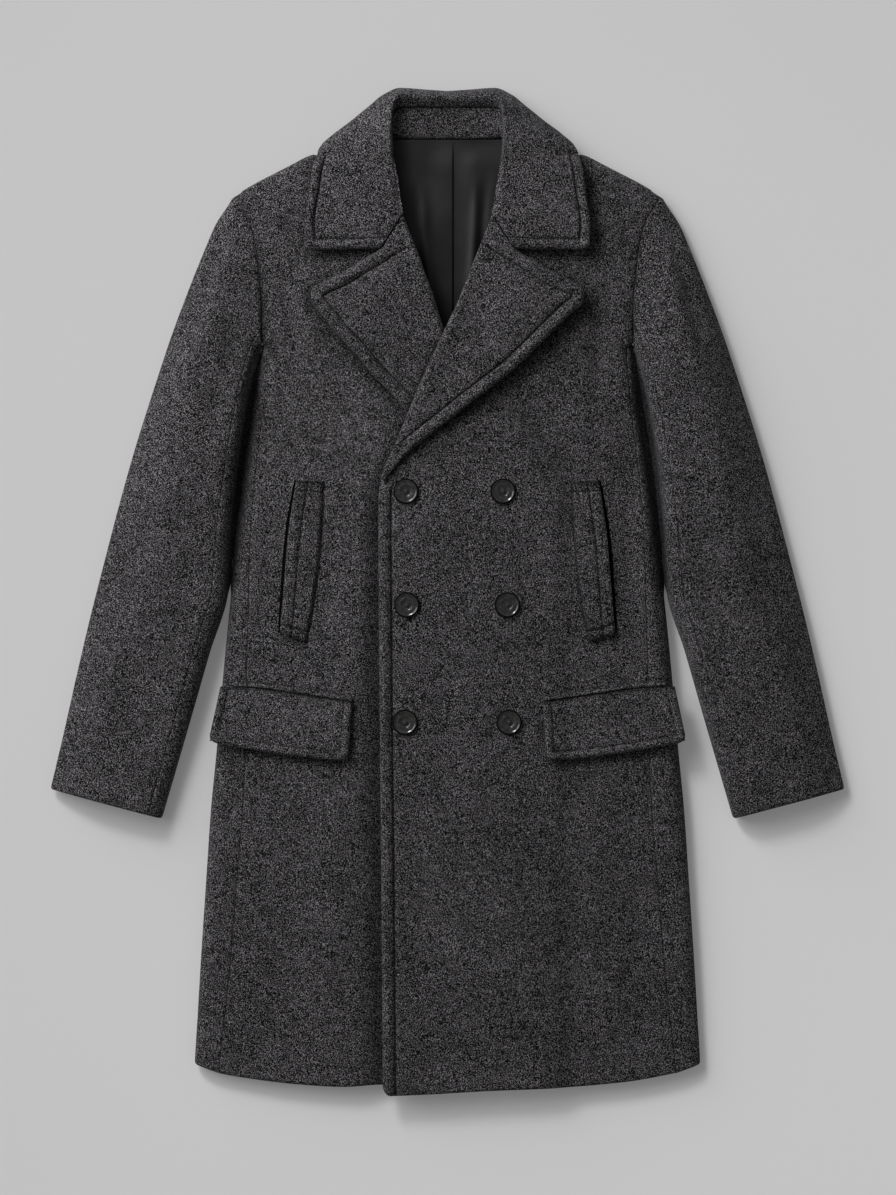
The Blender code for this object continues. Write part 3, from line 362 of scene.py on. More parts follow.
# steps over a rounded edge or a seam, and over an edge with its stitches, in millimetres
RIM = (0.12, 0.45, 1.1, 2.3)
STITCHED = RIM + (4.5, 7.5, 10.8, 12.2, 12.9, 13.4, 13.9, 14.6, 16, 19)
FLAP_STEPS = RIM + (4, 6.2, 7.8, 8.5, 9.0, 9.5, 10.2, 12)
GROOVE = 1.5 * MM            # half the width of the groove along a row of stitches


def normals(grid):
    """Normals of a grid of points, one for each point."""
    across = np.cross(np.gradient(grid, axis=1), np.gradient(grid, axis=0))
    return across / np.maximum(np.linalg.norm(across, axis=2, keepdims=True), 1e-12)


def rounded(d, reach, sink):
    """How far a surface sinks at the distance d from a border that it rounds down to."""
    t = 1.0 - np.clip(d / reach, 0.0, 1.0)
    return sink * (1.0 - np.sqrt(1.0 - t * t))


def swelled(d, row=STITCH, puff=2.3 * MM, pull=2.0 * MM):
    """Relief of a topstitched edge: puffed between edge and stitches, pulled in along them."""
    band = np.clip(d / row, 0.0, 1.0)
    return puff * np.sin(np.pi * band ** 0.8) * (d < row) - pull * bell((d - row) / GROOVE)


def settled(name, mesh, nodes):
    """An object of a mesh that rides with the coat and stands for the named solids."""
    thing = bpy.data.objects.new(name, mesh)
    bpy.context.scene.collection.objects.link(thing)
    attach(thing, "root")
    if nodes:
        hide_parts(*nodes)
    return thing


def piece(name, points, faces, finish, nodes, marks):
    """A piece made of points and faces. marks: values at its points that its finish reads."""
    mesh = bpy.data.meshes.new(name)
    mesh.from_pydata(points.tolist(), [], faces)
    mesh.update()
    for key, values in marks.items():
        mesh.attributes.new(key, "FLOAT", "POINT").data.foreach_set("value", values.astype(np.float32))
    mesh.materials.append(finish)
    mesh.shade_smooth()
    return settled(name, mesh, nodes)


def upward(grid, up=1.0):
    """Normals of a grid that on the whole look up, or down where up is -1."""
    n = normals(grid)
    return n * up * np.sign(n[..., 2].mean())


def outward(grid):
    """Normals of a grid that is bent round a hollow, looking away from it."""
    n = normals(grid)
    return n * np.sign((n * (grid - grid.mean(axis=1, keepdims=True))).sum(axis=2).mean())


# how far from a seam the cloth starts to sink towards it, and how deep it goes
SEAM_ROUND = {"seam": (2.3 * MM, 1.5 * MM), "gorge": (1.5 * MM, 0.9 * MM)}
FREE_REACH, FREE_SINK = 0.8, 0.47       # the same for both faces at a free edge, as shares of the wall


def shell(name, grid, n, wall, edges, finish, nodes, relief=0.0, marks=None):
    """Closed cloth shell. grid: its outer face, before its edges are rounded, with the normals n.
    edges: pairs of (distance to a border, kind), kind "free", "seam" or "gorge". relief: height added
    to the outer face. marks: values that the finish reads, shaped like the grid."""
    wall = np.zeros(grid.shape[:2]) + wall
    sink, lift = np.zeros_like(wall), np.zeros_like(wall)
    for d, kind in edges:
        if kind == "free":
            edge = rounded(d, FREE_REACH * wall, FREE_SINK * wall)
            sink, lift = np.maximum(sink, edge), np.maximum(lift, edge)
        else:
            sink = np.maximum(sink, rounded(d, *SEAM_ROUND[kind]))
    outer = grid + n * (relief - sink)[..., None]
    inner = grid - n * (wall - lift)[..., None]
    rows, cols = wall.shape
    index = np.arange(rows * cols).reshape(rows, cols)
    a, b, c, d = index[:-1, :-1], index[:-1, 1:], index[1:, 1:], index[1:, :-1]
    quads = np.stack([a, b, c, d], axis=-1).reshape(-1, 4)
    under = rows * cols
    rim = np.concatenate([index[0, :-1], index[:-1, -1], index[-1, :0:-1], index[:0:-1, 0]])
    onward = np.roll(rim, -1)
    sides = np.stack([onward, rim, rim + under, onward + under], axis=-1)
    faces = np.concatenate([quads, quads[:, ::-1] + under, sides])
    points = np.concatenate([outer.reshape(-1, 3), inner.reshape(-1, 3)])
    a, b, c = (points[faces[:, k]] for k in range(3))
    d = points[faces[:, 3]]
    volume = (a * np.cross(b, c)).sum() + (a * np.cross(c, d)).sum()
    if volume < 0:
        faces = faces[:, ::-1]
    both = {key: np.concatenate([v.ravel(), v.ravel()]) for key, v in (marks or {}).items()}
    return piece(name, points, faces.tolist(), finish, nodes, both)


def round_corner(grid, d_row, d_col, row, col, radius):
    """Pulls the corner (row, col) of a grid in to a radius. d_row and d_col are the distances from the
    two borders that meet there. Returns the grid and the distance from the rounded border."""
    a, b = np.clip(1 - d_row / radius, 0, 1), np.clip(1 - d_col / radius, 0, 1)
    inside = (a > 0) & (b > 0)
    near_a, near_b = a * np.sqrt(1 - b * b / 2), b * np.sqrt(1 - a * a / 2)
    ends = []
    for d, line_of in ((d_row, grid[:, col]), (d_col, grid[row, :])):
        off = d[:, col] if d is d_row else d[row, :]
        far = line_of[np.argmin(np.abs(off - radius))]
        ends.append(unit(far - grid[row, col]))
    shift_row = np.where(inside, radius * (a - near_a), 0.0)
    shift_col = np.where(inside, radius * (b - near_b), 0.0)
    grid = grid + shift_row[..., None] * ends[0] + shift_col[..., None] * ends[1]
    rim = np.where(inside, radius * (1 - np.hypot(near_a, near_b)), np.minimum(d_row, d_col))
    return grid, rim


def resample(rings, places):
    """Points at the given lengths along each ring of points."""
    return np.array([points_of(*(np.interp(at, run_of(ring), axis) for axis in ring.T))
                     for ring, at in zip(rings, places)])


def ring_lengths(rings):
    """Whole length of each ring."""
    return np.linalg.norm(np.diff(rings, axis=1), axis=2).sum(axis=1)


def at_hem(off_hem):
    """1 where a hem is turned up, 0 beyond it."""
    return 1 - smooth((off_hem - HEM_DEPTH) / HEM_FADE)


# ---- painted shade ---------------------------------------------------------------------------------
# The wool is dark, so the shadow that one piece throws on the next hardly shows in even light. The pieces
# therefore carry a mark of painted shade that darkens the wool beside the edges and seams, 0 to 1.
ARM_SHADE = 0.5, 4 * MM             # beside the armhole seam: its strength and its reach
ARM_SHADE_LOW = 0.42, 5 * MM        # so much more of both at the slit below it
ARM_LOW_Y, ARM_LOW_RUN = 345 * MM, 85 * MM
SHADE_FADE_IN = 0.12                # share of an edge's length over which its shade comes in
UNDER_SHADE, UNDER_REACH, UNDER_REACH_ROLL = 0.8, 13 * MM, 6 * MM
UNDER_RUN, UNDER_FADE = 30 * MM, 25 * MM


def beside_arm(off_seam, y):
    """Shade beside the armhole seam, wider and stronger towards the slit below it."""
    low = smooth((ARM_LOW_Y - y) / ARM_LOW_RUN)
    deep, reach = (first + more * low for first, more in zip(ARM_SHADE, ARM_SHADE_LOW))
    return deep * bell(off_seam / reach)


def under_edge(x, y):
    """Shade on what lies under the left front's edge and, narrower, under its roll line."""
    reach = UNDER_REACH - (UNDER_REACH - UNDER_REACH_ROLL) * smooth((y - BREAK_Y) / UNDER_RUN)
    return UNDER_SHADE * bell((x - front_edge_x(y)) / reach) * smooth((V_POINT_Y - y) / UNDER_FADE)


def painted_front_shade(x, y, side):
    """Painted shade on a front beside the edges of lapel, collar leaf and flap that lie on it."""
    t = np.linspace(0.0, 1.0, 24)
    lapel = (LAPEL_LEFT_EDGE if side > 0 else LAPEL_RIGHT_EDGE)(t) / MM
    shade = np.zeros_like(x)
    for deep, reach, points in ((0.75, 9, lapel), (0.5, 6, LAPEL_END(t[8:]) / MM), (0.55, 7, LEAF_EDGE),
                                (0.5, 5, FLAP_FOOT(t) / MM), (0.5, 5, FLAP_INNER)):
        off, along = off_line(side * x, y, points)
        coming = smooth(0.2 + along / SHADE_FADE_IN)
        shade = np.maximum(shade, deep * bell(off / (reach * MM)) * coming)
    return np.maximum(shade, under_edge(x, y)) if side < 0 else shade


# ---- body ------------------------------------------------------------------------------------------
VALLEY = 5.5 * MM                   # the under front sinks so far along the upper front's edge
VALLEY_REACH, VALLEY_RUN, VALLEY_END = 15 * MM, 50 * MM, BREAK_Y - 6 * MM
ROLL_TUCK = 4.5 * MM                # the front's edge starts this far inside its lapel's roll
TUCK_EARLY, TUCK_RUN = 4 * MM, 26 * MM
ARM_FILL, ARM_FILL_Y, ARM_FILL_REACH = 3 * MM, 264 * MM, 7 * MM   # the front closes the armhole's end
STITCH_END, STITCH_FADE = BREAK_Y + 2 * MM, 14 * MM               # the front's stitches end at the roll
EDGE_CALM, EDGE_CALM_RUN = 10 * MM, 30 * MM                       # creases begin this far from its edge
HEM_CORNER = 8 * MM
SHOULDER_TIGHT = 1.2                # the shoulder seam's rounding is narrower by this factor
ARM_SHADE_Y, ARM_SHADE_RUN = 236 * MM, 24 * MM                    # the armhole's shade begins here


def front_wall(x, y, side, off_hem):
    """Thickness of a front, which holds its facing along the overlap and a turned-up hem."""
    facing = CLOTH + (EDGE_WALL - CLOTH) * overlap(x, y) if side > 0 else CLOTH
    return np.maximum(facing, EDGE_WALL * at_hem(off_hem))


def valley(x, y):
    """Dip of the under front along the edge of the upper one."""
    return VALLEY * bell((x - front_edge_x(y)) / VALLEY_REACH) * smooth((VALLEY_END - y) / VALLEY_RUN)


def make_front(word, side, finish):
    """Front: rows from hem to shoulder, columns from its edge to the side seam and the armhole. The
    rows are about 1 m long, so a share of their length is also a distance."""
    edge_x, hem_y = (front_edge_x, hem_left_y) if side > 0 else (under_edge_x, hem_right_y)
    v = spaced(1.0, 170, RIM + (4, 7, 12), RIM)[0][:, None]
    hem_start, neck_end = edge_x(np.array([-FAR, FAR]))
    inner_level = hem_y(hem_start) + (shoulder_y(neck_end) - hem_y(hem_start)) * v
    outer_level = HEM_Y + (SHOULDER_END_Y - HEM_Y) * v
    start = (BREAK_Y if side > 0 else V_POINT_Y) - TUCK_EARLY
    inner_x = edge_x(inner_level) + ROLL_TUCK * smooth((inner_level - start) / TUCK_RUN)
    fill = ARM_FILL * bell((outer_level - ARM_FILL_Y) / ARM_FILL_REACH)
    outer_x = outer_seam_x(outer_level) - GAP / 2 + fill
    width = outer_x - inner_x
    off_edge = spaced(width[:, 0], 56, STITCHED if side > 0 else RIM, RIM)
    share = off_edge / width
    hem_x = hem_start + (outer_seam_x(HEM_Y) - hem_start) * share
    top_x = neck_end + (ARMHOLE["x"][-1] - neck_end) * share
    x = side * (inner_x * (1 - share) + outer_x * share)
    y = hem_y(hem_x) * (1 - v) + shoulder_y(top_x) * v
    z = front_outside(x, y, side) - (valley(x, y) if side < 0 else 0.0)
    grid = points_of(x, y, z)
    off_hem, off_top = v + 0 * x, 1.0 - v + 0 * x
    relief = body_relief(x, y)
    if side > 0:
        edge = np.where(y < BREAK_Y, off_edge, AWAY)
        relief = relief * smooth((off_edge - EDGE_CALM) / EDGE_CALM_RUN)
        relief += swelled(off_edge) * smooth((STITCH_END - y) / STITCH_FADE)
        grid, rim = round_corner(grid, off_hem, off_edge, 0, 0, HEM_CORNER)
    else:
        edge = np.full_like(x, AWAY)
        rim = np.minimum(off_hem, off_edge)
    wall = front_wall(x, y, side, off_hem)
    borders = [(rim, "free"), (width - off_edge, "seam"), (off_top * SHOULDER_TIGHT, "seam")]
    # painted shade on the front: beside the armhole seam, and beside the edges of lapel, collar leaf, flap
    # and upper front
    arm = beside_arm(width - off_edge, y) * smooth((y - ARM_SHADE_Y) / ARM_SHADE_RUN)
    return shell(f"cloth_front_{word}", grid, upward(grid), wall, borders, finish, [f"front_{word}"], relief,
                 {"edge": edge, "run": y, "painted_shade": np.maximum(painted_front_shade(x, y, side), arm)})


def make_back(finish):
    """Back in one plain panel, the same way round."""
    v = spaced(1.0, 120, RIM + (5,), RIM)[0][:, None]
    level = HEM_Y + (SHOULDER_END_Y - HEM_Y) * v
    half = under_seam_x(level) - GAP / 2
    place = spaced(2 * half[:, 0], 84, RIM, RIM)
    u = place / half - 1.0
    top_x = np.abs(u) * ARMHOLE["x"][-1]
    top = np.where(top_x < NECK_HALF, back_neck_y(top_x), shoulder_y(top_x))
    hem_x = np.abs(u) * under_seam_x(HEM_Y)
    x = u * half
    y = (hem_right_y(hem_x) + HEM_BACK_RISE * (1 - np.abs(u))) * (1 - v) + top * v
    grid = points_of(x, y, underside(x, y))
    off_hem = v + 0 * x
    wall = CLOTH + BACK_HEM_EXTRA * at_hem(off_hem)
    borders = [(off_hem, "free"), (np.minimum(place, 2 * half - place), "seam"), (1.0 - off_hem, "seam")]
    return shell("cloth_back", grid, upward(grid, -1.0), wall, borders, finish, ["back"])


# the slit between the body and the sleeve that lies beside it
SLIT_MOST = 9.5 * MM                     # its greatest width, in plan
SLIT_FOOT, SLIT_FOOT_RUN = -6 * MM, 16 * MM
SLIT_HEAD, SLIT_HEAD_RUN = 262 * MM, 12 * MM
SLIT_FILL, SLIT_LEVEL, SLIT_THICK = 0.53, 8 * MM, 5 * MM     # both sides swell into it at this height
SLIT_SHADE, SLIT_SHADE_RUN, SLIT_OPEN = 0.9, 15 * MM, 4 * MM
BRINK, BRINK_DROP = 30 * MM, 15 * MM     # its shade begins at this height, and lower near its head
BRINK_DROP_Y, BRINK_DROP_RUN = 190 * MM, 66 * MM
SIDE_TOP_Y = 258.7 * MM                  # the side panel ends below the armhole
SIDE_LEAST = 0.6 * MM, 0.8 * MM          # and stays this wide above and under the fold
SIDE_ROUND = 0.96                        # most of its width that the rounding may take
SIDE_HEM_RISE, SIDE_HEM_Y, SIDE_HEM_RUN = 9 * MM, -440 * MM, 66 * MM
SIDE_CALM = 8 * MM                       # its creases come in over this height above the fold's middle


def arm_gap(y):
    """Width of the slit, in plan."""
    slit = np.clip(sleeve_inner_x(y) - fold_x(y), 0.0, SLIT_MOST)
    return slit * smooth((y - SLIT_FOOT) / SLIT_FOOT_RUN) * smooth((SLIT_HEAD - y) / SLIT_HEAD_RUN)


def filled(x, y, z, towards):
    """Lets the low part of a rounded side swell into the slit beside it."""
    return x + towards * SLIT_FILL * arm_gap(y) * bell((z - SLIT_LEVEL) / SLIT_THICK)


def in_slit(y, z):
    """Shade of a point in the slit."""
    brink = BRINK - BRINK_DROP * smooth((y - BRINK_DROP_Y) / BRINK_DROP_RUN)
    return SLIT_SHADE * smooth((brink - z) / SLIT_SHADE_RUN) * smooth(arm_gap(y) / SLIT_OPEN)


def make_side(word, side, finish):
    """Side panel, from its seam on the front round the side fold to its seam underneath."""
    rows = spaced(SIDE_TOP_Y - HEM_Y, 160, RIM + (4, 8), RIM)[0]
    level = HEM_Y + rows
    fold = fold_x(level)
    seam, under = (np.minimum(edge(level) + GAP / 2, fold - least)
                   for edge, least in zip((outer_seam_x, under_seam_x), SIDE_LEAST))
    turn = np.radians(np.linspace(90, 0, 24))
    rings = []
    for y, f, s, u in zip(level, fold, seam, under):
        reach = min(FOLD_REACH, SIDE_ROUND * (f - s))
        above = np.concatenate([np.linspace(f - s, reach, 12)[:-1], reach * (1 - np.cos(turn))])
        low = min(SIDE_ROLL, SIDE_ROUND * (f - u))
        below = np.concatenate([low * (1 - np.cos(turn[::-1]))[1:], np.linspace(low, f - u, 12)[1:]])
        x = f - np.concatenate([above, below])
        z = np.concatenate([form(f - above, y + 0 * above), underside(f - below, y + 0 * below)])
        way = np.clip(1 - np.concatenate([above / (f - s), below / (f - u)]), 0, 1)
        drop = SIDE_HEM_RISE * way * smooth((SIDE_HEM_Y - y) / SIDE_HEM_RUN)
        rings.append(points_of(x, y + drop, z))
    rings = np.array(rings)
    length = ring_lengths(rings)
    places = spaced(length, 40, RIM, RIM)
    grid = resample(rings, places)
    grid[..., 0] = side * filled(*np.moveaxis(grid, 2, 0), 1.0)
    x, y, z = np.moveaxis(grid, 2, 0)
    relief = creases(x, y, BODY_CREASES) * off_fold(x, y) * smooth((z - SIDE_ROLL) / SIDE_CALM)
    off_hem = rows[:, None] + 0 * places
    borders = [(off_hem, "free"), (rows[-1] - off_hem, "seam"),
               (np.minimum(places, length[:, None] - places), "seam")]
    # painted shade on the side panel, deep in the slit beside the sleeve
    return shell(f"cloth_side_{word}", grid, outward(grid), CLOTH + HEM_EXTRA * at_hem(off_hem), borders,
                 finish, [f"side_{word}"], relief, {"painted_shade": in_slit(y, z)})


# ---- sleeves ---------------------------------------------------------------------------------------
# rings from the armhole to the cuff: ends of each on the outer and on the inner fold, and its height
SLEEVE = table("outer_x outer_y inner_x inner_y crown",
               (232, 406, 197, 255, 35), (243, 389.5, 198.5, 250, 36), (258, 355, 202, 240, 38),
               (273, 317.6, 206, 222, 39), (290, 272, 211, 195, 40), (308, 218, 217.5, 154, 40),
               (328, 155, 223, 110, 39), (345, 95, 227.5, 60, 38), (361, 34, 231, 0, 36),
               (377, -29, 250, -63, 34), (391.7, -92, 268, -126, 32), (405, -152, 284, -181, 30),
               (418, -207, 300.6, -238, 28))
FIRST_RING, CUFF_RING = -1, len(SLEEVE["crown"]) - 1   # ring -1 is the armhole itself
ARM_CROWN = 35.0 * MM
ARM_FOOT_Y = 259.0 * MM
CAP_RINGS = 4                # the armhole's curve and form fade out over these rings
SLEEVE_ROLL = 10.0 * MM
SLEEVE_LEAN = 1.55           # above 1 the sleeve is highest nearer the body
SLEEVE_FULL = 2.5, 3.0       # power of its cross-section at the outer fold, and how much more at the inner
FRONT_SEAM_Y, BACK_SEAM_Y = 279 * MM, 387 * MM     # where the sleeve seams leave the armhole
INNER_SIDE = 16.0 * MM       # width of the strip along the inner fold that swells into the slit
TOP_Z, TOP_RUN = 14.0 * MM, 12.0 * MM              # creases begin at this height
CAP_CALM, SWAY_CALM = 22.0 * MM, 30.0 * MM         # and are full this far from the armhole
CAP_RISE, CAP_AT, CAP_WIDE = 1.6 * MM, 9.0 * MM, 8.0 * MM   # swelling of the sleeve cap beside its seam
sleeve_inner_x = line(SLEEVE["inner_y"][::-1], SLEEVE["inner_x"][::-1])


def sleeve_sheet(side, s, k):
    """Top and bottom of the sleeve, and the places of its two seams. s: 0 on the outer fold, 1 on the
    inner one; k: ring, from the armhole to the cuff."""
    level = np.linspace(SHOULDER_END_Y, ARM_FOOT_Y, 600)
    arm = points_of(armhole_x(level) + GAP * 1.5, level)
    share = run_of(arm) / run_of(arm)[-1]
    bow = arm - (arm[0] + (arm[-1] - arm[0]) * share[:, None])
    first = (*arm[0], *arm[-1], ARM_CROWN)
    outer_x, outer_y, inner_x, inner_y, crown = (
        line(np.arange(FIRST_RING, CUFF_RING + 1), np.append(start, values))(k)[:, None]
        for start, values in zip(first, SLEEVE.values()))
    outer, inner = points_of(outer_x, outer_y), points_of(inner_x, inner_y)
    fade = smooth((k - FIRST_RING) / (CAP_RINGS + 1))[:, None]
    bend = points_of(*(np.interp(s, share, axis) for axis in bow.T))[None]
    plan = outer + (inner - outer) * s[None, :, None] + bend * (1 - fade[..., None])
    width = np.linalg.norm(inner - outer, axis=-1)
    edge = 1 - np.clip(np.minimum(s, 1 - s)[None] * width / SLEEVE_ROLL, 0, 1)
    full = SLEEVE_FULL[0] + SLEEVE_FULL[1] * s
    dome = np.sqrt(np.clip(1 - np.abs(2 * s ** SLEEVE_LEAN - 1) ** full, 0, 1))[None]
    arm_x, arm_y = (np.interp(s, share, axis) for axis in arm.T)
    arm_top = front_outside(side * arm_x, arm_y, side)[None]
    arm_bottom = underside(arm_x, arm_y)[None]
    top = SLEEVE_ROLL + (crown - SLEEVE_ROLL) * dome
    bottom = SLEEVE_ROLL - SLEEVE_ROLL * np.sqrt(1 - edge ** 2)
    top = arm_top * (1 - fade) + top * fade
    bottom = arm_bottom * (1 - fade) + bottom * fade
    upper = np.concatenate([plan, top[..., None]], axis=-1)
    lower = np.concatenate([plan, bottom[..., None]], axis=-1)
    seams = np.interp([FRONT_SEAM_Y, BACK_SEAM_Y], arm[::-1, 1], share[::-1])
    return upper, lower, seams


def make_sleeve(word, side, finish):
    """Top and under sleeve: rows from the armhole to the cuff, columns round from seam to seam."""
    k_fine = np.linspace(FIRST_RING, CUFF_RING, 400)
    s_fine = (1 - np.cos(np.linspace(0, np.pi, 161))) / 2
    _, _, (front_seam, back_seam) = sleeve_sheet(side, s_fine, k_fine[:2])
    run = run_of(sleeve_sheet(side, np.array([0.5]), k_fine)[0][:, 0])
    rows = spaced(run[-1], 150, RIM + (4, 7, 11), RIM + (4, 8))[0]
    k = np.interp(rows, run, k_fine)
    front_s, back_s = np.sort(np.append(s_fine, front_seam)), np.sort(np.append(s_fine, back_seam))
    at_front, at_back = np.searchsorted(front_s, front_seam), np.searchsorted(back_s, back_seam)
    upper, lower = sleeve_sheet(side, front_s, k)[0], sleeve_sheet(side, back_s, k)[1]
    top_ring = np.concatenate([lower[:, at_back:0:-1], upper[:, :at_front + 1]], axis=1)
    under_ring = np.concatenate([upper[:, at_front:], lower[:, -2:at_back - 1:-1]], axis=1)
    made = []
    for name, columns, ring in (("sleeve_top", 84, top_ring), ("sleeve_under", 60, under_ring)):
        length = ring_lengths(ring)
        places = spaced(length - GAP, columns, RIM, RIM) + GAP / 2
        grid = resample(ring, places)
        x, y, z = np.moveaxis(grid, 2, 0)
        inner_side = smooth(1.5 - (x - sleeve_inner_x(y)) / INNER_SIDE)
        grid[..., 0] = side * (x + (filled(x, y, z, -1.0) - x) * inner_side)
        x, y, z = np.moveaxis(grid, 2, 0)
        off_arm, off_cuff = rows[:, None] + 0 * x, rows[-1] - rows[:, None] + 0 * x
        on_top = smooth((z - TOP_Z) / TOP_RUN)
        relief = creases(x, y, SLEEVE_CREASES[side]) * smooth(off_arm / CAP_CALM)
        relief += SLEEVE_SWAY * swings(x, y, SLEEVE_SWING, side) * smooth(off_arm / SWAY_CALM)
        relief += CAP_RISE * bell((off_arm - CAP_AT) / CAP_WIDE)
        borders = [(off_arm, "seam"), (off_cuff, "free"),
                   (np.minimum(places, length[:, None] - places), "seam")]
        # painted shade on the sleeve: deep in the slit and beside the armhole seam
        painted_shade = np.maximum(in_slit(y, z) * inner_side, beside_arm(off_arm, y) * on_top)
        made.append(shell(f"cloth_{name}_{word}", grid, outward(grid), CLOTH + HEM_EXTRA * at_hem(off_cuff),
                          borders, finish, [f"{name}_{word}"], relief * on_top, {"painted_shade": painted_shade}))
    return made


# ---- lapels ----------------------------------------------------------------------------------------
# the left lapel's gorge from the neck to its tip, by the notch, and the free edge of each lapel up to
# the tip; for the right one x is taken towards the wearer's right
GORGE_TOP, NOTCH = (46.5, 396.4), (70, 360.5)
LAPEL_END = path(GORGE_TOP, (58, 377), NOTCH, (89, 348.5), (112, 334), (131, 325.5), (141.5, 319), (145, 313))
LAPEL_LEFT_EDGE = path((-66, 117), (-61.5, 123), (-51, 136.5), (-38, 148.7), (-23.3, 160.5), (1.3, 179.6),
                       (22.4, 196.5), (46.3, 214.7), (69, 233), (91, 254), (111, 273.7), (128, 290.6),
                       (141.5, 303), (145, 313))
LAPEL_RIGHT_EDGE = path((40, 180), (45, 191.6), (58.6, 207.7), (78, 227.3), (96.5, 250), (115, 269.5),
                        (132, 290.6), (141.5, 302), (145, 313))
LAPEL_START = {1: 118 * MM, -1: 174 * MM}       # the lowest point of each
# the right lapel's inner edge below the crossing of the rolls, under the left front
TAIL_EDGE = table("y x", (174, 36), (181, 32.6), (215, 18.5), (245, 4.4), (265, 1), (282, 5))
LIFT_START = {1: BREAK_Y, -1: 205.0 * MM}       # a lapel begins to stand off its front at this height
LIFT_RISE, LIFT_OFF_ROLL, LIFT_RUN, TIGHT_RUN = 75.0 * MM, 10.0 * MM, 70.0 * MM, 45.0 * MM
ROLL_RADIUS, ROLL_FALL = 6.5 * MM, 3.5 * MM   # radius of the roll, and how far it goes on down behind it
ROLL_FULL = 26.0 * MM        # a lapel narrower than this has a smaller roll in proportion
TIP_RADIUS = 8.0 * MM
LAPEL_STAND = 3.0 * MM       # how far the free edge curls up above the lift
STAND_OFF_ROLL, STAND_RUN, STAND_FROM, STAND_RISE = 12.0 * MM, 50.0 * MM, 0.05, 0.35
GORGE_FLAT, GORGE_REACH = 0.7, 28.0 * MM           # the curl is less by this share beside the gorge
LAPEL_SWAY, LAPEL_SWAY_RUN = 0.7 * MM, 30.0 * MM
ROLL_CALM, ROLL_CALM_RUN = 8.0 * MM, 10.0 * MM     # the relief begins this far from the roll
LOW_CALM, LOW_CALM_RUN = 0.01, 0.06                # and at this share of the way up
GORGE_FROM, GORGE_POWER = 0.45, 1.5                # the rows bend towards the gorge's line from here up


def turned_bottom(x, y, side):
    """Height of the underside of the lapels and collar leaves where they lie on a front."""
    fade = smooth((y - LIFT_START[side]) / LIFT_RISE)
    lift = LAPEL_LIFT * smooth((off_roll(x, y, side) - LIFT_OFF_ROLL) / LIFT_RUN) * fade
    tight = LIE * (1 - smooth((y - LAPEL_START[side]) / TIGHT_RUN))
    return front_outside(x, y, side) + LIE + tight + lift


def extended(points, reach=30.0):
    """A line of points as seen from above, in millimetres, carried on straight past its last one."""
    points = np.asarray(points)[..., :2] / MM
    return np.concatenate([points, [points[-1] + reach * unit(points[-1] - points[-9])]])


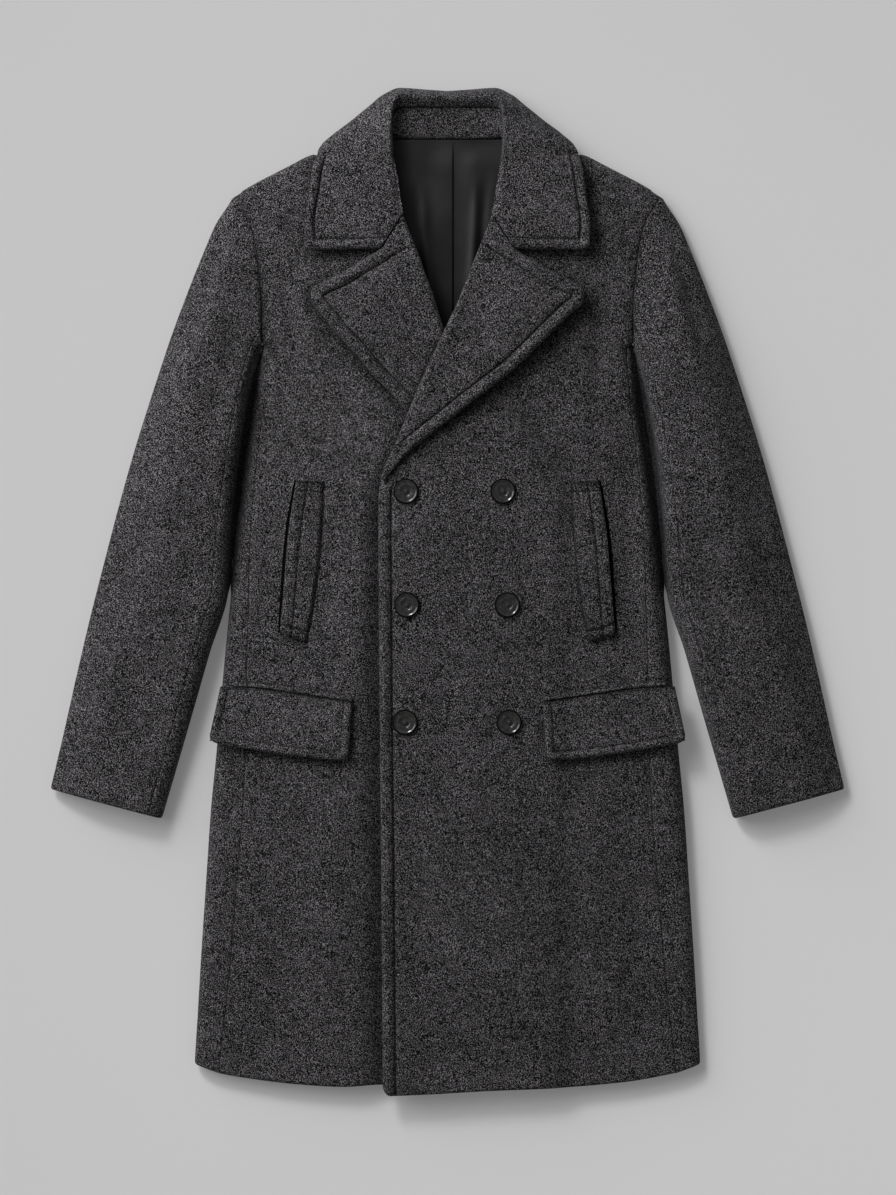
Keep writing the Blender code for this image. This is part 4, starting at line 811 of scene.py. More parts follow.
def make_lapel(word, side, finish):
    """Turned-back lapel: rows from its lowest point to the gorge, columns from the roll to its edge."""
    start_y, end_y = LAPEL_START[side], GORGE_TOP[1] * MM
    v = spaced(end_y - start_y, 130, RIM, STITCHED, 1.25)[0] / (end_y - start_y)
    level = start_y + (end_y - start_y) * v
    roll = front_edge_x(level) if side > 0 else under_edge_x(level)
    if side < 0:
        roll = np.where(level < V_POINT_Y, line(TAIL_EDGE["y"], TAIL_EDGE["x"])(level), roll)
    start = points_of(roll + GAP, level)
    free = (LAPEL_LEFT_EDGE if side > 0 else LAPEL_RIGHT_EDGE)(v)
    width = np.linalg.norm(free - start, axis=1)
    e = (free - start) / width[:, None]
    turn = unit(np.gradient(free, axis=0))
    square = np.clip(np.abs(e[:, 0] * turn[:, 1] - e[:, 1] * turn[:, 0]), 0.4, 1.0)
    size = np.clip(width / ROLL_FULL, 0.1, 1.0)[:, None]
    phi = np.radians(np.concatenate([[0, 0, 0], np.linspace(0, 90, 10)[1:]]))
    drop = np.concatenate([[ROLL_FALL, ROLL_FALL / 2, 0.0], np.zeros(9)]) + ROLL_RADIUS * (1 - np.sin(phi))
    curl = ROLL_RADIUS * (1 - np.cos(phi))
    flat = spaced(width - curl[-1] * size[:, 0], 46, (2,), STITCHED, 1 / square)[:, 1:]
    d = np.concatenate([curl[None] * size, curl[-1] * size + flat], axis=1)
    more = flat.shape[1]
    drop = np.concatenate([drop[None] * size, np.zeros((len(v), more))], axis=1)
    phi = np.concatenate([phi, np.full(more, np.pi / 2)])[None]
    u = (d / width[:, None])[..., None]
    plan = start[:, None] * (1 - u) + free[:, None] * u
    straight = start[-1] * (1 - u) + free[-1] * u
    towards_gorge = smooth((v - GORGE_FROM) / (1 - GORGE_FROM))[:, None, None] ** GORGE_POWER
    plan += towards_gorge * (LAPEL_END(u[..., 0]) - straight)
    from_top = np.linalg.norm(plan - plan[-1:], axis=2)
    plan, _ = round_corner(plan, from_top, width[:, None] - d, -1, -1, TIP_RADIUS)
    past_notch = plan[-1, :, 0] > NOTCH[0] * MM
    border = np.concatenate([plan[:-1, -1], plan[-1, past_notch][::-1]])
    x, y = plan[..., 0], plan[..., 1]
    off_edge = off_line(x, y, border / MM)[0]
    off_row, along = off_line(x, y, extended(border))
    gorge = off_line(x, y, plan[-1, ~past_notch] / MM)[0]
    x = side * x
    sway = LAPEL_SWAY * np.sin(21 * y + side) * smooth(d / LAPEL_SWAY_RUN)
    stand_off = LAPEL_STAND * smooth((d - STAND_OFF_ROLL) / STAND_RUN)
    stand_off *= smooth((v[:, None] - STAND_FROM) / STAND_RISE) * (1 - GORGE_FLAT * bell(gorge / GORGE_REACH))
    z = turned_bottom(x, y, side) + LAPEL_WALL - drop + stand_off
    grid = points_of(x, y, z)
    n = points_of(-np.cos(phi) * side * e[:, :1], -np.cos(phi) * e[:, 1:], np.sin(phi) + 0 * x)
    relief = (swelled(off_row) + sway) * smooth((d - ROLL_CALM) / ROLL_CALM_RUN)
    relief *= smooth((v[:, None] - LOW_CALM) / LOW_CALM_RUN)
    # painted shade on the right lapel, under the left front's edge
    return shell(f"cloth_lapel_{word}", grid, n, LAPEL_WALL, [(off_edge, "free"), (gorge, "gorge")], finish,
                 [f"lapel_{word}"], relief,
                 {"edge": off_row, "run": along * run_of(border)[-1], "painted_shade": under_edge(x, y) * (side < 0)})


# ---- collar ----------------------------------------------------------------------------------------
# stations from the gorge round to the centre back: upper roll, middle of the leaf, its edge or the
# silhouette where it goes over the shoulder and ends "past" further on; heights of the first four
# are over the front's cloth
COLLAR = table("fold_x fold_y fold_z turn_x turn_y turn_z crest_x crest_y crest_z past seam_x seam_y seam_z",
               (46.8, 396.9, -1, 70.3, 360.9, 0.4, 149, 357, 0, 0, 45.9, 398.2, -4),
               (51, 412, 1, 95, 391, 3, 150, 384, 0, 0, 49.0, 413, -6),
               (55, 432, 2, 97, 420, 4.5, 146, 413, 0, 0, 52.0, 433, -9),
               (58, 452, 2, 98, 446, 4.5, 142.5, 443, 0, 0, 55.5, 453, -11),
               (59.5, 467, 43, 98, 462, 34, 138.3, 459.5, 21, 0, 57, 467, 31),
               (59.9, 478, 42, 96, 475, 33, 132.7, 471, 12, 7, 57.4, 475.5, 28.5),
               (60, 488, 40, 90, 487, 30, 121.5, 481, 8, 20, 58.6, 486, 26),
               (59, 500, 37, 79, 500, 26, 104, 494, 8, 40, 57.9, 497, 23),
               (57.5, 511, 33, 70, 512, 24, 85, 510, 8, 56, 56, 507, 20.5),
               (54, 519, 29, 60, 521, 22, 67, 524.5, 8, 68, 52, 509.2, 18),
               (45, 522.5, 26, 47, 527, 20, 49, 531.5, 8, 75, 44, 510, 16),
               (22, 520.5, 23, 22.5, 526, 17, 23, 529.8, 7, 78, 21, 510, 15),
               (0, 519.5, 22, 0, 525, 16, 0, 528.2, 7, 78, 0, 510.3, 14.5))
# low edge and outer edge of a leaf, seen from above
LEAF_EDGE = ((71, 361), (110, 359), (149, 357), (150, 384), (146, 413), (142.5, 443), (139, 460))
LYING_STATIONS = 4            # these lie on the fronts from roll to edge
LAST = len(COLLAR["past"]) - 1.0
BACK_FALL_X = 0.75            # the fall under the coat runs on towards this share of the crest's x
BACK_FALL_Y = 85.0 * MM       # and towards a point this far below it
FALL_FLAT = 7.0               # "past" at which its crest has come down to the surface
ROLL_STATIONS = 3.5           # the extra rounding of a leaf's roll dies out over these stations
CREST_RUN = 14.0 * MM         # finer steps begin this far before the edge
COLLAR_STITCH = 11.5 * MM
COLLAR_SWAY = 0.5 * MM
LEAF_CORNER = 9.0 * MM
LOW_STEPS = 27.0              # millimetres between the first two stations
LEAF_EARLY, LEAF_SOFT = 1.0 * MM, 13.0 * MM    # a leaf comes to lie on the front over this width
LEAF_STITCHED, LEAF_STITCH_RUN = 3.2, 0.9      # its stitches' relief dies out from this station on
SEAM_CALM, SEAM_CALM_RUN = 6.0 * MM, 10.0 * MM # the relief begins this far from the seam
LEAF_STEEP = 0.3              # and is less where the cloth looks up less than this
LEAF_NOTCH_X = 73.0 * MM      # the low edge is free beyond this, and sewn to the lapel before it
BURIED = 3.0 * MM             # distance given to a seam that lies hidden under the leaf
BURIED_TO, BURIED_RUN = 7.6, 1.2               # up to this station, over this many
NECK = table("x y z",
             (57, 440, 28), (59, 457, 22), (60, 468, 18.5), (59.8, 474, 17), (58.4, 477.5, 16),
             (55.5, 479, 15), (50, 478.4, 14.5), (44, 477.8, 14.2), (38, 477.4, 14), (20, 477.1, 14),
             (0, 477, 14))
STAND_CALM = 8.0 * MM
STAND_SHADE, STAND_SEAM_SHADE, STAND_SHADE_REACH = 0.25, 0.5, 3.0 * MM
STAND_START = 2.0             # the station where the stand begins, and NECK with it


def collar_lines():
    """Seam, fold, middle and edge of the collar as functions of the station, in absolute heights."""
    k, lines = np.arange(LAST + 1), []
    for part in ("seam", "fold", "turn", "crest"):
        x, y, z = (COLLAR[f"{part}_{axis}"].copy() for axis in "xyz")
        low = slice(0, LYING_STATIONS)
        z[low] += turned_bottom(x[low], y[low], 1) + COLLAR_WALL + 2 * LIE
        lines.append([line(k, values) for values in (x, y, z)])
    return lines


def collar_rows(k):
    """Outer face of half the collar, and how far each of its points lies from the hidden edge."""
    points = np.stack([points_of(*(axis(k) for axis in part)) for part in collar_lines()], axis=1)
    crest, past = points[:, 3], line(np.arange(LAST + 1), COLLAR["past"])(k) / MM
    back = unit(points_of(crest[:, 0] * (BACK_FALL_X - 1), np.full(len(k), -BACK_FALL_Y)))
    height = crest[:, 2] * (1 - smooth(past / FALL_FLAT))
    for reach in ((0.02, 2.3, 9, 9), (0.05, 3.2, 20, 100)):
        on = crest[:, :2] + back * line((0, FALL_FLAT, 20, 100), reach)(past)[:, None] * MM
        points = np.concatenate([points, np.concatenate([on, height[:, None]], axis=1)[:, None]], axis=1)
    seam_steps, end_steps = np.array([0.0, 0.3, 1.0, 2.2, 4.0, 6.5]) * MM, np.array([0.5, 0.12, 0.0]) * MM
    rows, off, hidden = [], [], []
    for at, p in zip(k, points):
        s = run_of(p)
        fine = np.concatenate([[0.0], *(np.linspace(a, b, 80)[1:] for a, b in zip(s, s[1:]))])
        curve = points_of(*(line(s, axis)(fine) for axis in p.T))
        straight = p[1] + (p[2] - p[1]) * ((fine - s[1]) / (s[2] - s[1]))[:, None]
        leg = (fine > s[1]) & (fine < s[2])
        curve[leg] += (straight - curve)[leg] * smooth(1.0 - at)
        run = run_of(curve)
        fold, crest = run[np.searchsorted(fine, s[1])], run[np.searchsorted(fine, s[3])]
        roll = rounded(np.maximum(run - fold, 0.0), ROLL_RADIUS, ROLL_RADIUS)
        curve[:, 2] -= roll * (1 - smooth(at / ROLL_STATIONS))
        near = crest - CREST_RUN
        place = np.concatenate([seam_steps, np.linspace(seam_steps[-1], near, 44)[1:],
                                near + (run[-1] - near) * np.linspace(0, 1, 34)[1:-1] ** 1.5,
                                run[-1] - end_steps])
        place.sort()
        rows.append(points_of(*(np.interp(place, run, axis) for axis in curve.T)))
        off.append(run[-1] - place)
        hidden.append(place > crest)
    return np.array(rows), np.array(off), np.array(hidden)


def buried(k):
    """Added to the distance from the seam where no seam shows, at the stations under the leaf."""
    return BURIED * smooth((BURIED_TO - k) / BURIED_RUN)


def mirrored(grid, flip=True):
    """A half of a piece, from one end to the centre, and its mirror image after it. Values that
    aren't places are repeated without the flip."""
    turn = np.array([-1.0, 1.0, 1.0]) if flip else 1.0
    return np.concatenate([grid, (grid * turn)[-2::-1]])


def make_collar(finish):
    """Fall of the collar: rows from one leaf's low edge to the other's, columns from the seam out."""
    low = np.array((0.0, *STITCHED)) / LOW_STEPS
    k = np.concatenate([low, np.linspace(low[-1], LAST, 118)[1:]])
    grid, off, hidden = collar_rows(k)
    x, y, z = np.moveaxis(grid, 2, 0)
    on_front = smooth((below_shoulder(x, y) + LEAF_EARLY) / LEAF_SOFT) * ~hidden
    floor = front_outside(x, y, 1) + COLLAR_WALL + LIE
    grid[..., 2] = np.maximum(z, z + (floor - z) * on_front)
    from_low = np.linalg.norm(grid - grid[:1], axis=2)
    grid, _ = round_corner(grid, from_low, off, 0, -1, LEAF_CORNER)
    x, y = grid[..., 0], grid[..., 1]
    past_notch = grid[0, :, 0] > LEAF_NOTCH_X
    low_edge = grid[0, past_notch][::-1]
    standing = AWAY * (1 - smooth(LYING_STATIONS + 0.5 - k)[:, None])
    off_low = off_line(x, y, low_edge[:, :2] / MM)[0] + standing
    off_low_row = off_line(x, y, extended(low_edge))[0] + standing
    gorge = off_line(x, y, grid[0, ~past_notch][:, :2] / MM)[0] + standing
    run = np.cumsum(np.linalg.norm(np.gradient(grid[:, -6], axis=0), axis=1))[:, None] + 0 * x
    run = np.where(off_low_row < off, x, run)
    seam = np.linalg.norm(grid - grid[:, :1], axis=2) + buried(k)[:, None]
    whole = mirrored(grid)
    n = normals(whole)
    n *= np.sign(n[0, 30, 2])
    off_edge, gorge, seam, off_row, run = (mirrored(values, False) for values in (
        np.minimum(off, off_low), gorge, seam, np.minimum(off, off_low_row), run))
    station = mirrored(k, False)[:, None]
    relief = swelled(off_row, COLLAR_STITCH) * (1 - smooth((station - LEAF_STITCHED) / LEAF_STITCH_RUN))
    relief += COLLAR_SWAY * np.sin(38 * whole[..., 0] + 20 * whole[..., 1])
    relief *= smooth((seam - SEAM_CALM) / SEAM_CALM_RUN) * smooth(n[..., 2] / LEAF_STEEP)
    borders = [(off_edge, "free"), (gorge, "gorge"), (seam, "seam")]
    return shell("cloth_collar", whole, n, COLLAR_WALL, borders, finish, ["collar"], relief,
                 {"edge": off_row + STITCH - COLLAR_STITCH, "run": run})


def make_stand(finish):
    """Inner stand of the collar, from its seam under the roll down to the neck seam."""
    k = np.linspace(STAND_START, LAST, 90)
    tops = mirrored(points_of(*(axis(k) for axis in collar_lines()[0])))
    stations = np.arange(STAND_START, LAST + 1)
    feet = mirrored(points_of(*(line(stations, NECK[axis])(k) for axis in "xyz")))
    length = np.linalg.norm(feet - tops, axis=1)
    down = (feet - tops) / length[:, None]
    out = unit(np.cross(np.gradient(tops, axis=0), down))
    out *= np.sign(out[len(out) // 2, 1])
    tops = tops + 2 * GAP * down
    place = spaced(length - 2 * GAP, 14, RIM, RIM)
    grid = tops[:, None] + down[:, None] * place[..., None]
    n = np.repeat(-out[:, None], place.shape[1], axis=1)
    off = np.minimum(place, place[:, -1:] - place) + buried(mirrored(k, False))[:, None]
    relief = COLLAR_SWAY * np.sin(60 * grid[..., 0]) * smooth(off / STAND_CALM)
    # painted shade over the whole stand, deep inside the neck, and darker beside its seams
    return shell("cloth_stand", grid, n, CLOTH, [(off, "seam")], finish, ["collar_stand"], relief,
                 {"painted_shade": STAND_SHADE + STAND_SEAM_SHADE * bell(off / STAND_SHADE_REACH)})


# ---- lining ----------------------------------------------------------------------------------------
LINING_HALF = table("y half", (236, 34), (282, 46), (350, 68), (410, 84), (450, 76), (470, 64), (480, 60))
LINING_TOP = 476.8 * MM
LINING_FOOT = 238.0 * MM
LINING_SPAN = 238.0 * MM
LINING_CLEAR = 2.4 * MM       # above the back
LINING_TOP_CLEAR = 1.6 * MM   # the same at the neck seam
LINING_RISE_Y, LINING_RISE_RUN = 270.0 * MM, 155.0 * MM     # it lies higher over the hidden fall
PLEAT_X, PLEAT_RAMP, PLEAT_RISE = 5.0 * MM, 30.0 * MM, 1.7 * MM
PLEAT_DROP, PLEAT_END_Y, PLEAT_FADE = 1.4 * MM, 477.0 * MM, 30.0 * MM
PLEAT_STEPS = (-0.5, 0.0, 0.35, 0.8, 1.4, 2.0)              # columns across its edge, in millimetres
LINING_SWELL, LINING_SWELL_RUN = 2.2 * MM, 26.0 * MM        # beside the pleat, on the side it faces
# the satin's loose folds: height, width, points
SATIN_FOLDS = ((1.5, 5, ((32, 445), (29, 380), (25, 320), (18, 262))),
               (-0.8, 5, ((39, 440), (36, 380), (32, 320), (26, 270))),
               (1.0, 5, ((-26, 440), (-24, 380), (-20, 320), (-14, 270))),
               (-0.7, 5, ((-34, 430), (-31, 370), (-26, 310))),
               (0.7, 7, ((52, 452), (46, 400), (40, 352))),
               (0.8, 7, ((-50, 455), (-46, 400), (-38, 340))))


def make_lining(finish):
    """Back lining where the open neck shows it, with its centre pleat lying to one side."""
    share = spaced(1.0, 110, (1, 3), (1, 3, 6))[0][:, None]
    half = line(LINING_HALF["y"], LINING_HALF["half"])(LINING_FOOT + share * LINING_SPAN)
    at = PLEAT_X + np.array(PLEAT_STEPS) * MM
    left = -half + (at[0] + half) * np.linspace(0, 1, 46)[None, :-1]
    right = at[-1] + (half - at[-1]) * np.linspace(0, 1, 42)[None, 1:]
    x = np.concatenate([left, at[None] + 0 * share, right], axis=1)
    y = LINING_FOOT + (LINING_TOP - LINING_FOOT) * share + 0 * x
    ramp = smooth((x - PLEAT_X + PLEAT_RAMP) / PLEAT_RAMP) * (1 - smooth((x - PLEAT_X) / PLEAT_DROP))
    fade = smooth((PLEAT_END_Y - y) / PLEAT_FADE)
    z = CLOTH + LIE + LINING + LINING_TOP_CLEAR + creases(x, y, SATIN_FOLDS)
    z += (COLLAR_WALL + LIE) * smooth((y - LINING_RISE_Y) / LINING_RISE_RUN)
    z += (PLEAT_RISE * ramp + LINING_SWELL * smooth((x - PLEAT_X) / LINING_SWELL_RUN)
          + LINING_CLEAR - LINING_TOP_CLEAR) * fade
    grid = points_of(x, y, z)
    off = np.minimum(half - np.abs(x), np.minimum(share, 1 - share) * LINING_SPAN)
    return shell("cloth_lining", grid, upward(grid), LINING, [(off, "free")], finish, ["back_lining"])


# ---- pockets ---------------------------------------------------------------------------------------
POCKET_INSET = 12.0 * MM      # a flap keeps the height that the cloth has this far inside the fold
FLAP_TOP = path((100, -115), (160, -106.2), (203, -100.4), (238.5, -98.5))
FLAP_FOOT = path((104, -176), (115, -175.8), (160, -171.6), (203, -165.5), (251, -156.5))
JET_TOP = path((100.5, -107.4), (133, -101.4), (205, -92.8), (228, -91.7))
JET_FOOT = path((100.3, -114.0), (160, -105.2), (203, -99.4), (230, -97.8))
WELT_INNER = path((127.5, 117), (131.5, 48), (138, -8), (145.5, -53))
WELT_SLIT = path((159.4, 118), (168, 60), (174, -12), (176.8, -44))
FLAP_INNER = ((100, -115), (102, -150), (104, -170))        # the flap's side nearer the front edge
FLAP_LIFT, JET_LIFT = 4.0 * MM, 3.2 * MM      # how far their lower edges stand off the cloth
FLAP_CORNER = 9.0 * MM
FLAP_STITCH = 9.0 * MM
FLAP_PUFF, FLAP_PULL, FLAP_SAG = 0.9 * MM, 0.8 * MM, 0.8 * MM
FAINT_ROW = 0.9 * MM          # a place along a row where no stitch shows, so its line is even and faint
SEAM_SHADE, STRIP_SHADE_REACH = 0.95, 2.8 * MM
JET_FOOT_SHADE = 2.2          # a jet's shade is this much narrower along its lower edge
WELT_BAR = 11.0 * MM          # the row across each end of a welt
WELT_CLEAR, WELT_RISE, WELT_SWELL = 0.6 * MM, 3.0 * MM, 1.6 * MM
WELT_RISE_RUN, WELT_SWELL_RUN = 6.0 * MM, 16.0 * MM
WELT_DIP, WELT_DIP_AT, WELT_DIP_REACH = 1.5 * MM, 1.5 * MM, 1.8 * MM
WELT_PUFF, WELT_PULL, WELT_BAR_PULL = 0.9 * MM, 1.0 * MM, 1.2 * MM
WELT_SHADE_AT, WELT_SHADE_REACH = 2.0 * MM, 2.3 * MM
MOUTH = 3.0                   # greatest opening of a hand pocket, in millimetres
MOUTH_WALL, MOUTH_UP, MOUTH_COLUMNS, MOUTH_STEP = 0.8 * MM, 0.5 * MM, 9, 0.3 * MM


def cloth_under(x, y, side):
    """Height of the cloth that a pocket piece lies on, carried on level past the side fold."""
    held = np.minimum(np.abs(x), fold_x(y) - POCKET_INSET)
    return front_outside(side * held, y, side) + body_relief(side * held, y)


def pocket_strip(node, side, upper, lower, rows, lift, wall, corner, row, finish):
    """A flat pocket piece between an upper and a lower line, with a row of stitches along its free
    edges and rounded lower corners, unless row and corner are 0."""
    steps = FLAP_STEPS if corner else RIM
    u = (spaced(upper.length, 60, steps, steps)[0] / upper.length)[None, :]
    depth = np.linalg.norm(upper(0.5) - lower(0.5))
    v = (spaced(depth, rows, RIM, steps)[0] / depth)[:, None]
    plan = upper(u[0])[None] * (1 - v[..., None]) + lower(u[0])[None] * v[..., None]
    if corner:
        off_foot = (1 - v) * depth + 0 * u
        for column, off_end in ((0, u), (-1, 1 - u)):
            plan, _ = round_corner(plan, off_foot, off_end * upper.length + 0 * v, -1, column, corner)
    border = np.concatenate([plan[:-1, 0], plan[-1, :-1], plan[::-1, -1]])
    x, y = side * plan[..., 0], plan[..., 1]
    off_edge = off_line(plan[..., 0], y, border / MM)[0]
    z = cloth_under(x, y, side) + LIE + lift * v + wall
    grid = points_of(x, y, z)
    if row:
        sag = FLAP_SAG * np.sin(26 * x + side) * smooth(v)
        relief, edge = swelled(off_edge, row, FLAP_PUFF, FLAP_PULL) + sag, off_edge + STITCH - row
        off_seam = v * depth
    else:
        relief, edge = 0.0, np.full_like(x, AWAY)
        off_seam = np.minimum(v, JET_FOOT_SHADE * (1 - v)) * depth
    # painted shade along a flap's sewn top, and along both edges of a jet
    painted_shade = SEAM_SHADE * bell(off_seam / STRIP_SHADE_REACH) + 0 * x
    return shell(f"cloth_{node}", grid, upward(grid), wall, [(off_edge, "free"), (v * depth + 0 * u, "seam")],
                 finish, [node], relief, {"edge": edge, "run": 0 * x - FAINT_ROW, "painted_shade": painted_shade})


def make_welt(word, side, finish):
    """Slanted welt of a hand pocket: a band with a stitched mouth edge and a bar at each end."""
    v = spaced(WELT_SLIT.length, 100, STITCHED, STITCHED)[0] / WELT_SLIT.length
    inner, slit = WELT_INNER(v), WELT_SLIT(v)
    width = np.linalg.norm(slit - inner, axis=1)
    place = spaced(width, 16, RIM + (4, 6), STITCHED)
    u = (place / width[:, None])[..., None]
    plan = inner[:, None] * (1 - u) + slit[:, None] * u
    x, y = side * plan[..., 0], plan[..., 1]
    off_in, off_slit = place, width[:, None] - place
    off_end = np.minimum(v, 1 - v)[:, None] * WELT_SLIT.length + 0 * x
    z = front_outside(x, y, side) + body_relief(x, y) + LIE + WELT_CLEAR
    z += WELT_RISE * smooth(off_in / WELT_RISE_RUN)
    z += WELT_SWELL * smooth((off_in - WELT_RISE_RUN) / WELT_SWELL_RUN)
    z -= WELT_DIP * bell((off_in - WELT_DIP_AT) / WELT_DIP_REACH)
    z += swelled(off_slit, STITCH, WELT_PUFF, WELT_PULL)
    z -= WELT_BAR_PULL * bell((off_end - WELT_BAR) / GROOVE)
    grid = points_of(x, y, z)
    bar = off_end + STITCH - WELT_BAR
    on_bar = np.abs(bar - STITCH) < np.abs(off_slit - STITCH)
    off_seam = np.minimum(off_in, off_end)
    borders = [(off_slit, "free"), (off_seam, "seam")]
    # painted shade along the welt's sewn inner edge and its ends
    return shell(f"cloth_welt_{word}", grid, upward(grid), WELT_WALL, borders, finish, [f"welt_{word}"], 0.0,
                 {"edge": np.where(on_bar, bar, off_slit), "run": np.where(on_bar, x, y),
                  "painted_shade": SEAM_SHADE * bell((off_seam - WELT_SHADE_AT) / WELT_SHADE_REACH)})


def make_mouth(word, side, finish):
    """Dark mouth of the hand pocket, along the stitched edge of its welt: a near-black strip lying on the
    cloth, which shows the pocket bag and is painted shade for the opening's depth.
    """
    v = spaced(1.0, 60, (4,), (4,))[0]
    slit = WELT_SLIT(0.99 * v)
    way = unit(np.gradient(slit, axis=0))
    out = points_of(-way[:, 1], way[:, 0])
    out *= np.sign(out[:1, 0])
    t = np.linspace(-1.5, 1.0, MOUTH_COLUMNS) * MM
    swell = (0.15 + 0.85 * np.sin(np.pi * v) ** 0.35)[:, None]
    plan = slit[:, None] + out[:, None] * np.where(t > 0, MOUTH * t * swell, t)[..., None]
    x, y = side * plan[..., 0], plan[..., 1]
    grid = points_of(x, y, front_outside(x, y, side) + body_relief(x, y) + MOUTH_UP)
    column = np.arange(MOUTH_COLUMNS)
    off = np.minimum(column, column[::-1]) * MOUTH_STEP + 0 * x
    mouth = shell(f"pocket_mouth_{word}", grid, upward(grid), MOUTH_WALL, [(off, "free")], finish, [])


# ---- finishes --------------------------------------------------------------------------------------
class Value:
    """A socket of a shader, so that sums and products of values can be written as such."""

    def __init__(self, tree, socket):
        self.tree, self.socket = tree, socket

    def node(self, kind, inputs, out=0, **settings):
        """A new node: its settings first, then values or links for its input sockets."""
        made = self.tree.nodes.new(kind)
        for key, value in settings.items():
            setattr(made, key, value)
        for key, value in inputs.items():
            if isinstance(value, Value):
                self.tree.links.new(made.inputs[key], value.socket)
            else:
                made.inputs[key].default_value = value
        return Value(self.tree, made.outputs[out])

    def maths(self, how, a, b=0.0):
        return self.node("ShaderNodeMath", {0: a, 1: b}, operation=how)

    def __add__(self, other):
        return self.maths("ADD", self, other)

    def __sub__(self, other):
        return self.maths("SUBTRACT", self, other)

    def __rsub__(self, other):
        return self.maths("SUBTRACT", other, self)

    def __mul__(self, other):
        return self.maths("MULTIPLY", self, other)

    def __abs__(self):
        return self.maths("ABSOLUTE", self)

    __radd__, __rmul__ = __add__, __mul__

    def step(self, low, high):
        """0 below low, 1 above high, smooth between; the other way round where low is above high."""
        low, high, first, last = (low, high, 0.0, 1.0) if low < high else (high, low, 1.0, 0.0)
        return self.node("ShaderNodeMapRange", {"Value": self, "From Min": low, "From Max": high,
                                                "To Min": first, "To Max": last},
                         interpolation_type="SMOOTHSTEP")

    def noise(self, per_metre, turn=0.0, detail=2.0, shift=(0.0, 0.0, 0.0)):
        """Noise along object coordinates, turned first. per_metre is its scale, or one for each axis."""
        place = self.node("ShaderNodeMapping",
                          {"Vector": self, "Rotation": (0.0, 0.0, turn), "Location": shift})
        scale = per_metre if isinstance(per_metre, tuple) else (per_metre,) * 3
        place = place.node("ShaderNodeVectorMath", {0: place, 1: scale}, operation="MULTIPLY")
        return place.node("ShaderNodeTexNoise", {"Vector": place, "Scale": 1.0, "Detail": detail,
                                                 "Roughness": 0.55}, out="Fac")

    def bumped(self, strength, distance):
        """Normal of a surface whose height this is."""
        return self.node("ShaderNodeBump", {"Height": self, "Strength": strength, "Distance": distance},
                         out="Normal")

    def attribute(self, name):
        """A mark that the piece carries at its points."""
        return self.node("ShaderNodeAttribute", {}, out="Fac", attribute_name=name)

    def mixed(self, a, b):
        """Colour a where this is 0, b where it is 1."""
        return self.node("ShaderNodeMix", {0: self, 6: a, 7: b}, out=2, data_type="RGBA")


def finish_of(name, roughness, **settings):
    """A new material: the start of its maths, and a function that links values to its shader."""
    made = bpy.data.materials.new(name)
    made.use_nodes = True
    tree = made.node_tree
    shader = tree.nodes["Principled BSDF"]
    shader.inputs["Roughness"].default_value = roughness
    for key, value in settings.items():
        shader.inputs[key.replace("_", " ")].default_value = value
    place = Value(tree, tree.nodes.new("ShaderNodeTexCoord").outputs["Object"])

    def link(**values):
        for key, value in values.items():
            tree.links.new(shader.inputs[key.replace("_", " ")], value.socket)
    return made, place, link


def grey(level, warm=0.0):
    """A neutral colour, redder and less blue where warm is above 0."""
    return (level * (1 + warm), level, level * (1 - warm), 1.0)


def plum(level):
    """A grey with a faint cast between red and blue."""
    return (level * 1.02, level * 0.965, level * 1.02, 1.0)


HAIR = 1750.0, 580.0, 1000.0        # hairs to the metre across, along and through the cloth
WOOL_TONES = (0.36, 0.0005), (0.45, 0.0019), (0.505, 0.0079), (0.55, 0.0345), (0.63, 0.24)
STITCH_PITCH = 3.6 * MM
ROW_FADE = 1.4 * MM, 0.4 * MM       # from the middle of a row of stitches, it begins and is full here
EDGE_FADE = 0.5 * MM, 4.0 * MM      # and it keeps off the very edge


def make_wool():
    """Charcoal melange coating: short light and dark hairs lying in two slanted directions. It reads three
    marks: "edge", distance to a stitched edge, "run", place along it, and a third, the painted shade, 0 to 1."""
    made, at, link = finish_of("charcoal_melange_wool", 0.92, Sheen_Weight=0.06, Sheen_Roughness=0.45,
                               Sheen_Tint=(0.8, 0.85, 0.95, 1.0), Specular_IOR_Level=0.08)
    rising = at.noise(HAIR, np.radians(35), 1.0)
    falling = at.noise(HAIR, np.radians(-44), 1.0, (0.31, 0.17, 0.0))
    which = at.noise(130.0, 0.0, 1.0, (0.7, 0.1, 0.4)).step(0.55, 0.63)
    hair = rising + (falling - rising) * which
    grain = at.noise(1150.0, 0.4, 1.0)
    mottle = at.noise(120.0, 0.2, 2.0, (0.2, 0.6, 0.3))
    cloud = at.noise(16.0, 0.1, 2.0, (0.5, 0.3, 0.1))
    light = hair * 0.78 + grain * 0.56 + mottle * 0.1 + cloud * 0.06 - 0.25
    tone = light.node("ShaderNodeValToRGB", {"Fac": light}, out="Color")
    ramp = tone.socket.node.color_ramp
    for k, (place, level) in enumerate(WOOL_TONES):
        stop = ramp.elements[k] if k < 2 else ramp.elements.new(place)
        stop.position, stop.color = place, plum(level)
    off, turn = at.attribute("edge"), at.attribute("run") * (2 * np.pi / STITCH_PITCH)
    row = abs(off - STITCH).step(*ROW_FADE) * off.step(*EDGE_FADE)
    stitches = row * (0.5 + 0.5 * turn.maths("SINE", turn).step(-0.75, 0.1))
    tone = (stitches * 0.85).mixed(tone, grey(0.004))
    # painted shade: the mark darkens the wool towards near black
    tone = (at.attribute("painted_shade") * 0.75).mixed(tone, grey(0.002))
    height = hair * 0.5 + grain * 0.3 + mottle * 0.55 - stitches * 0.8
    link(Base_Color=tone, Normal=height.bumped(0.55, 0.7 * MM))
    return made


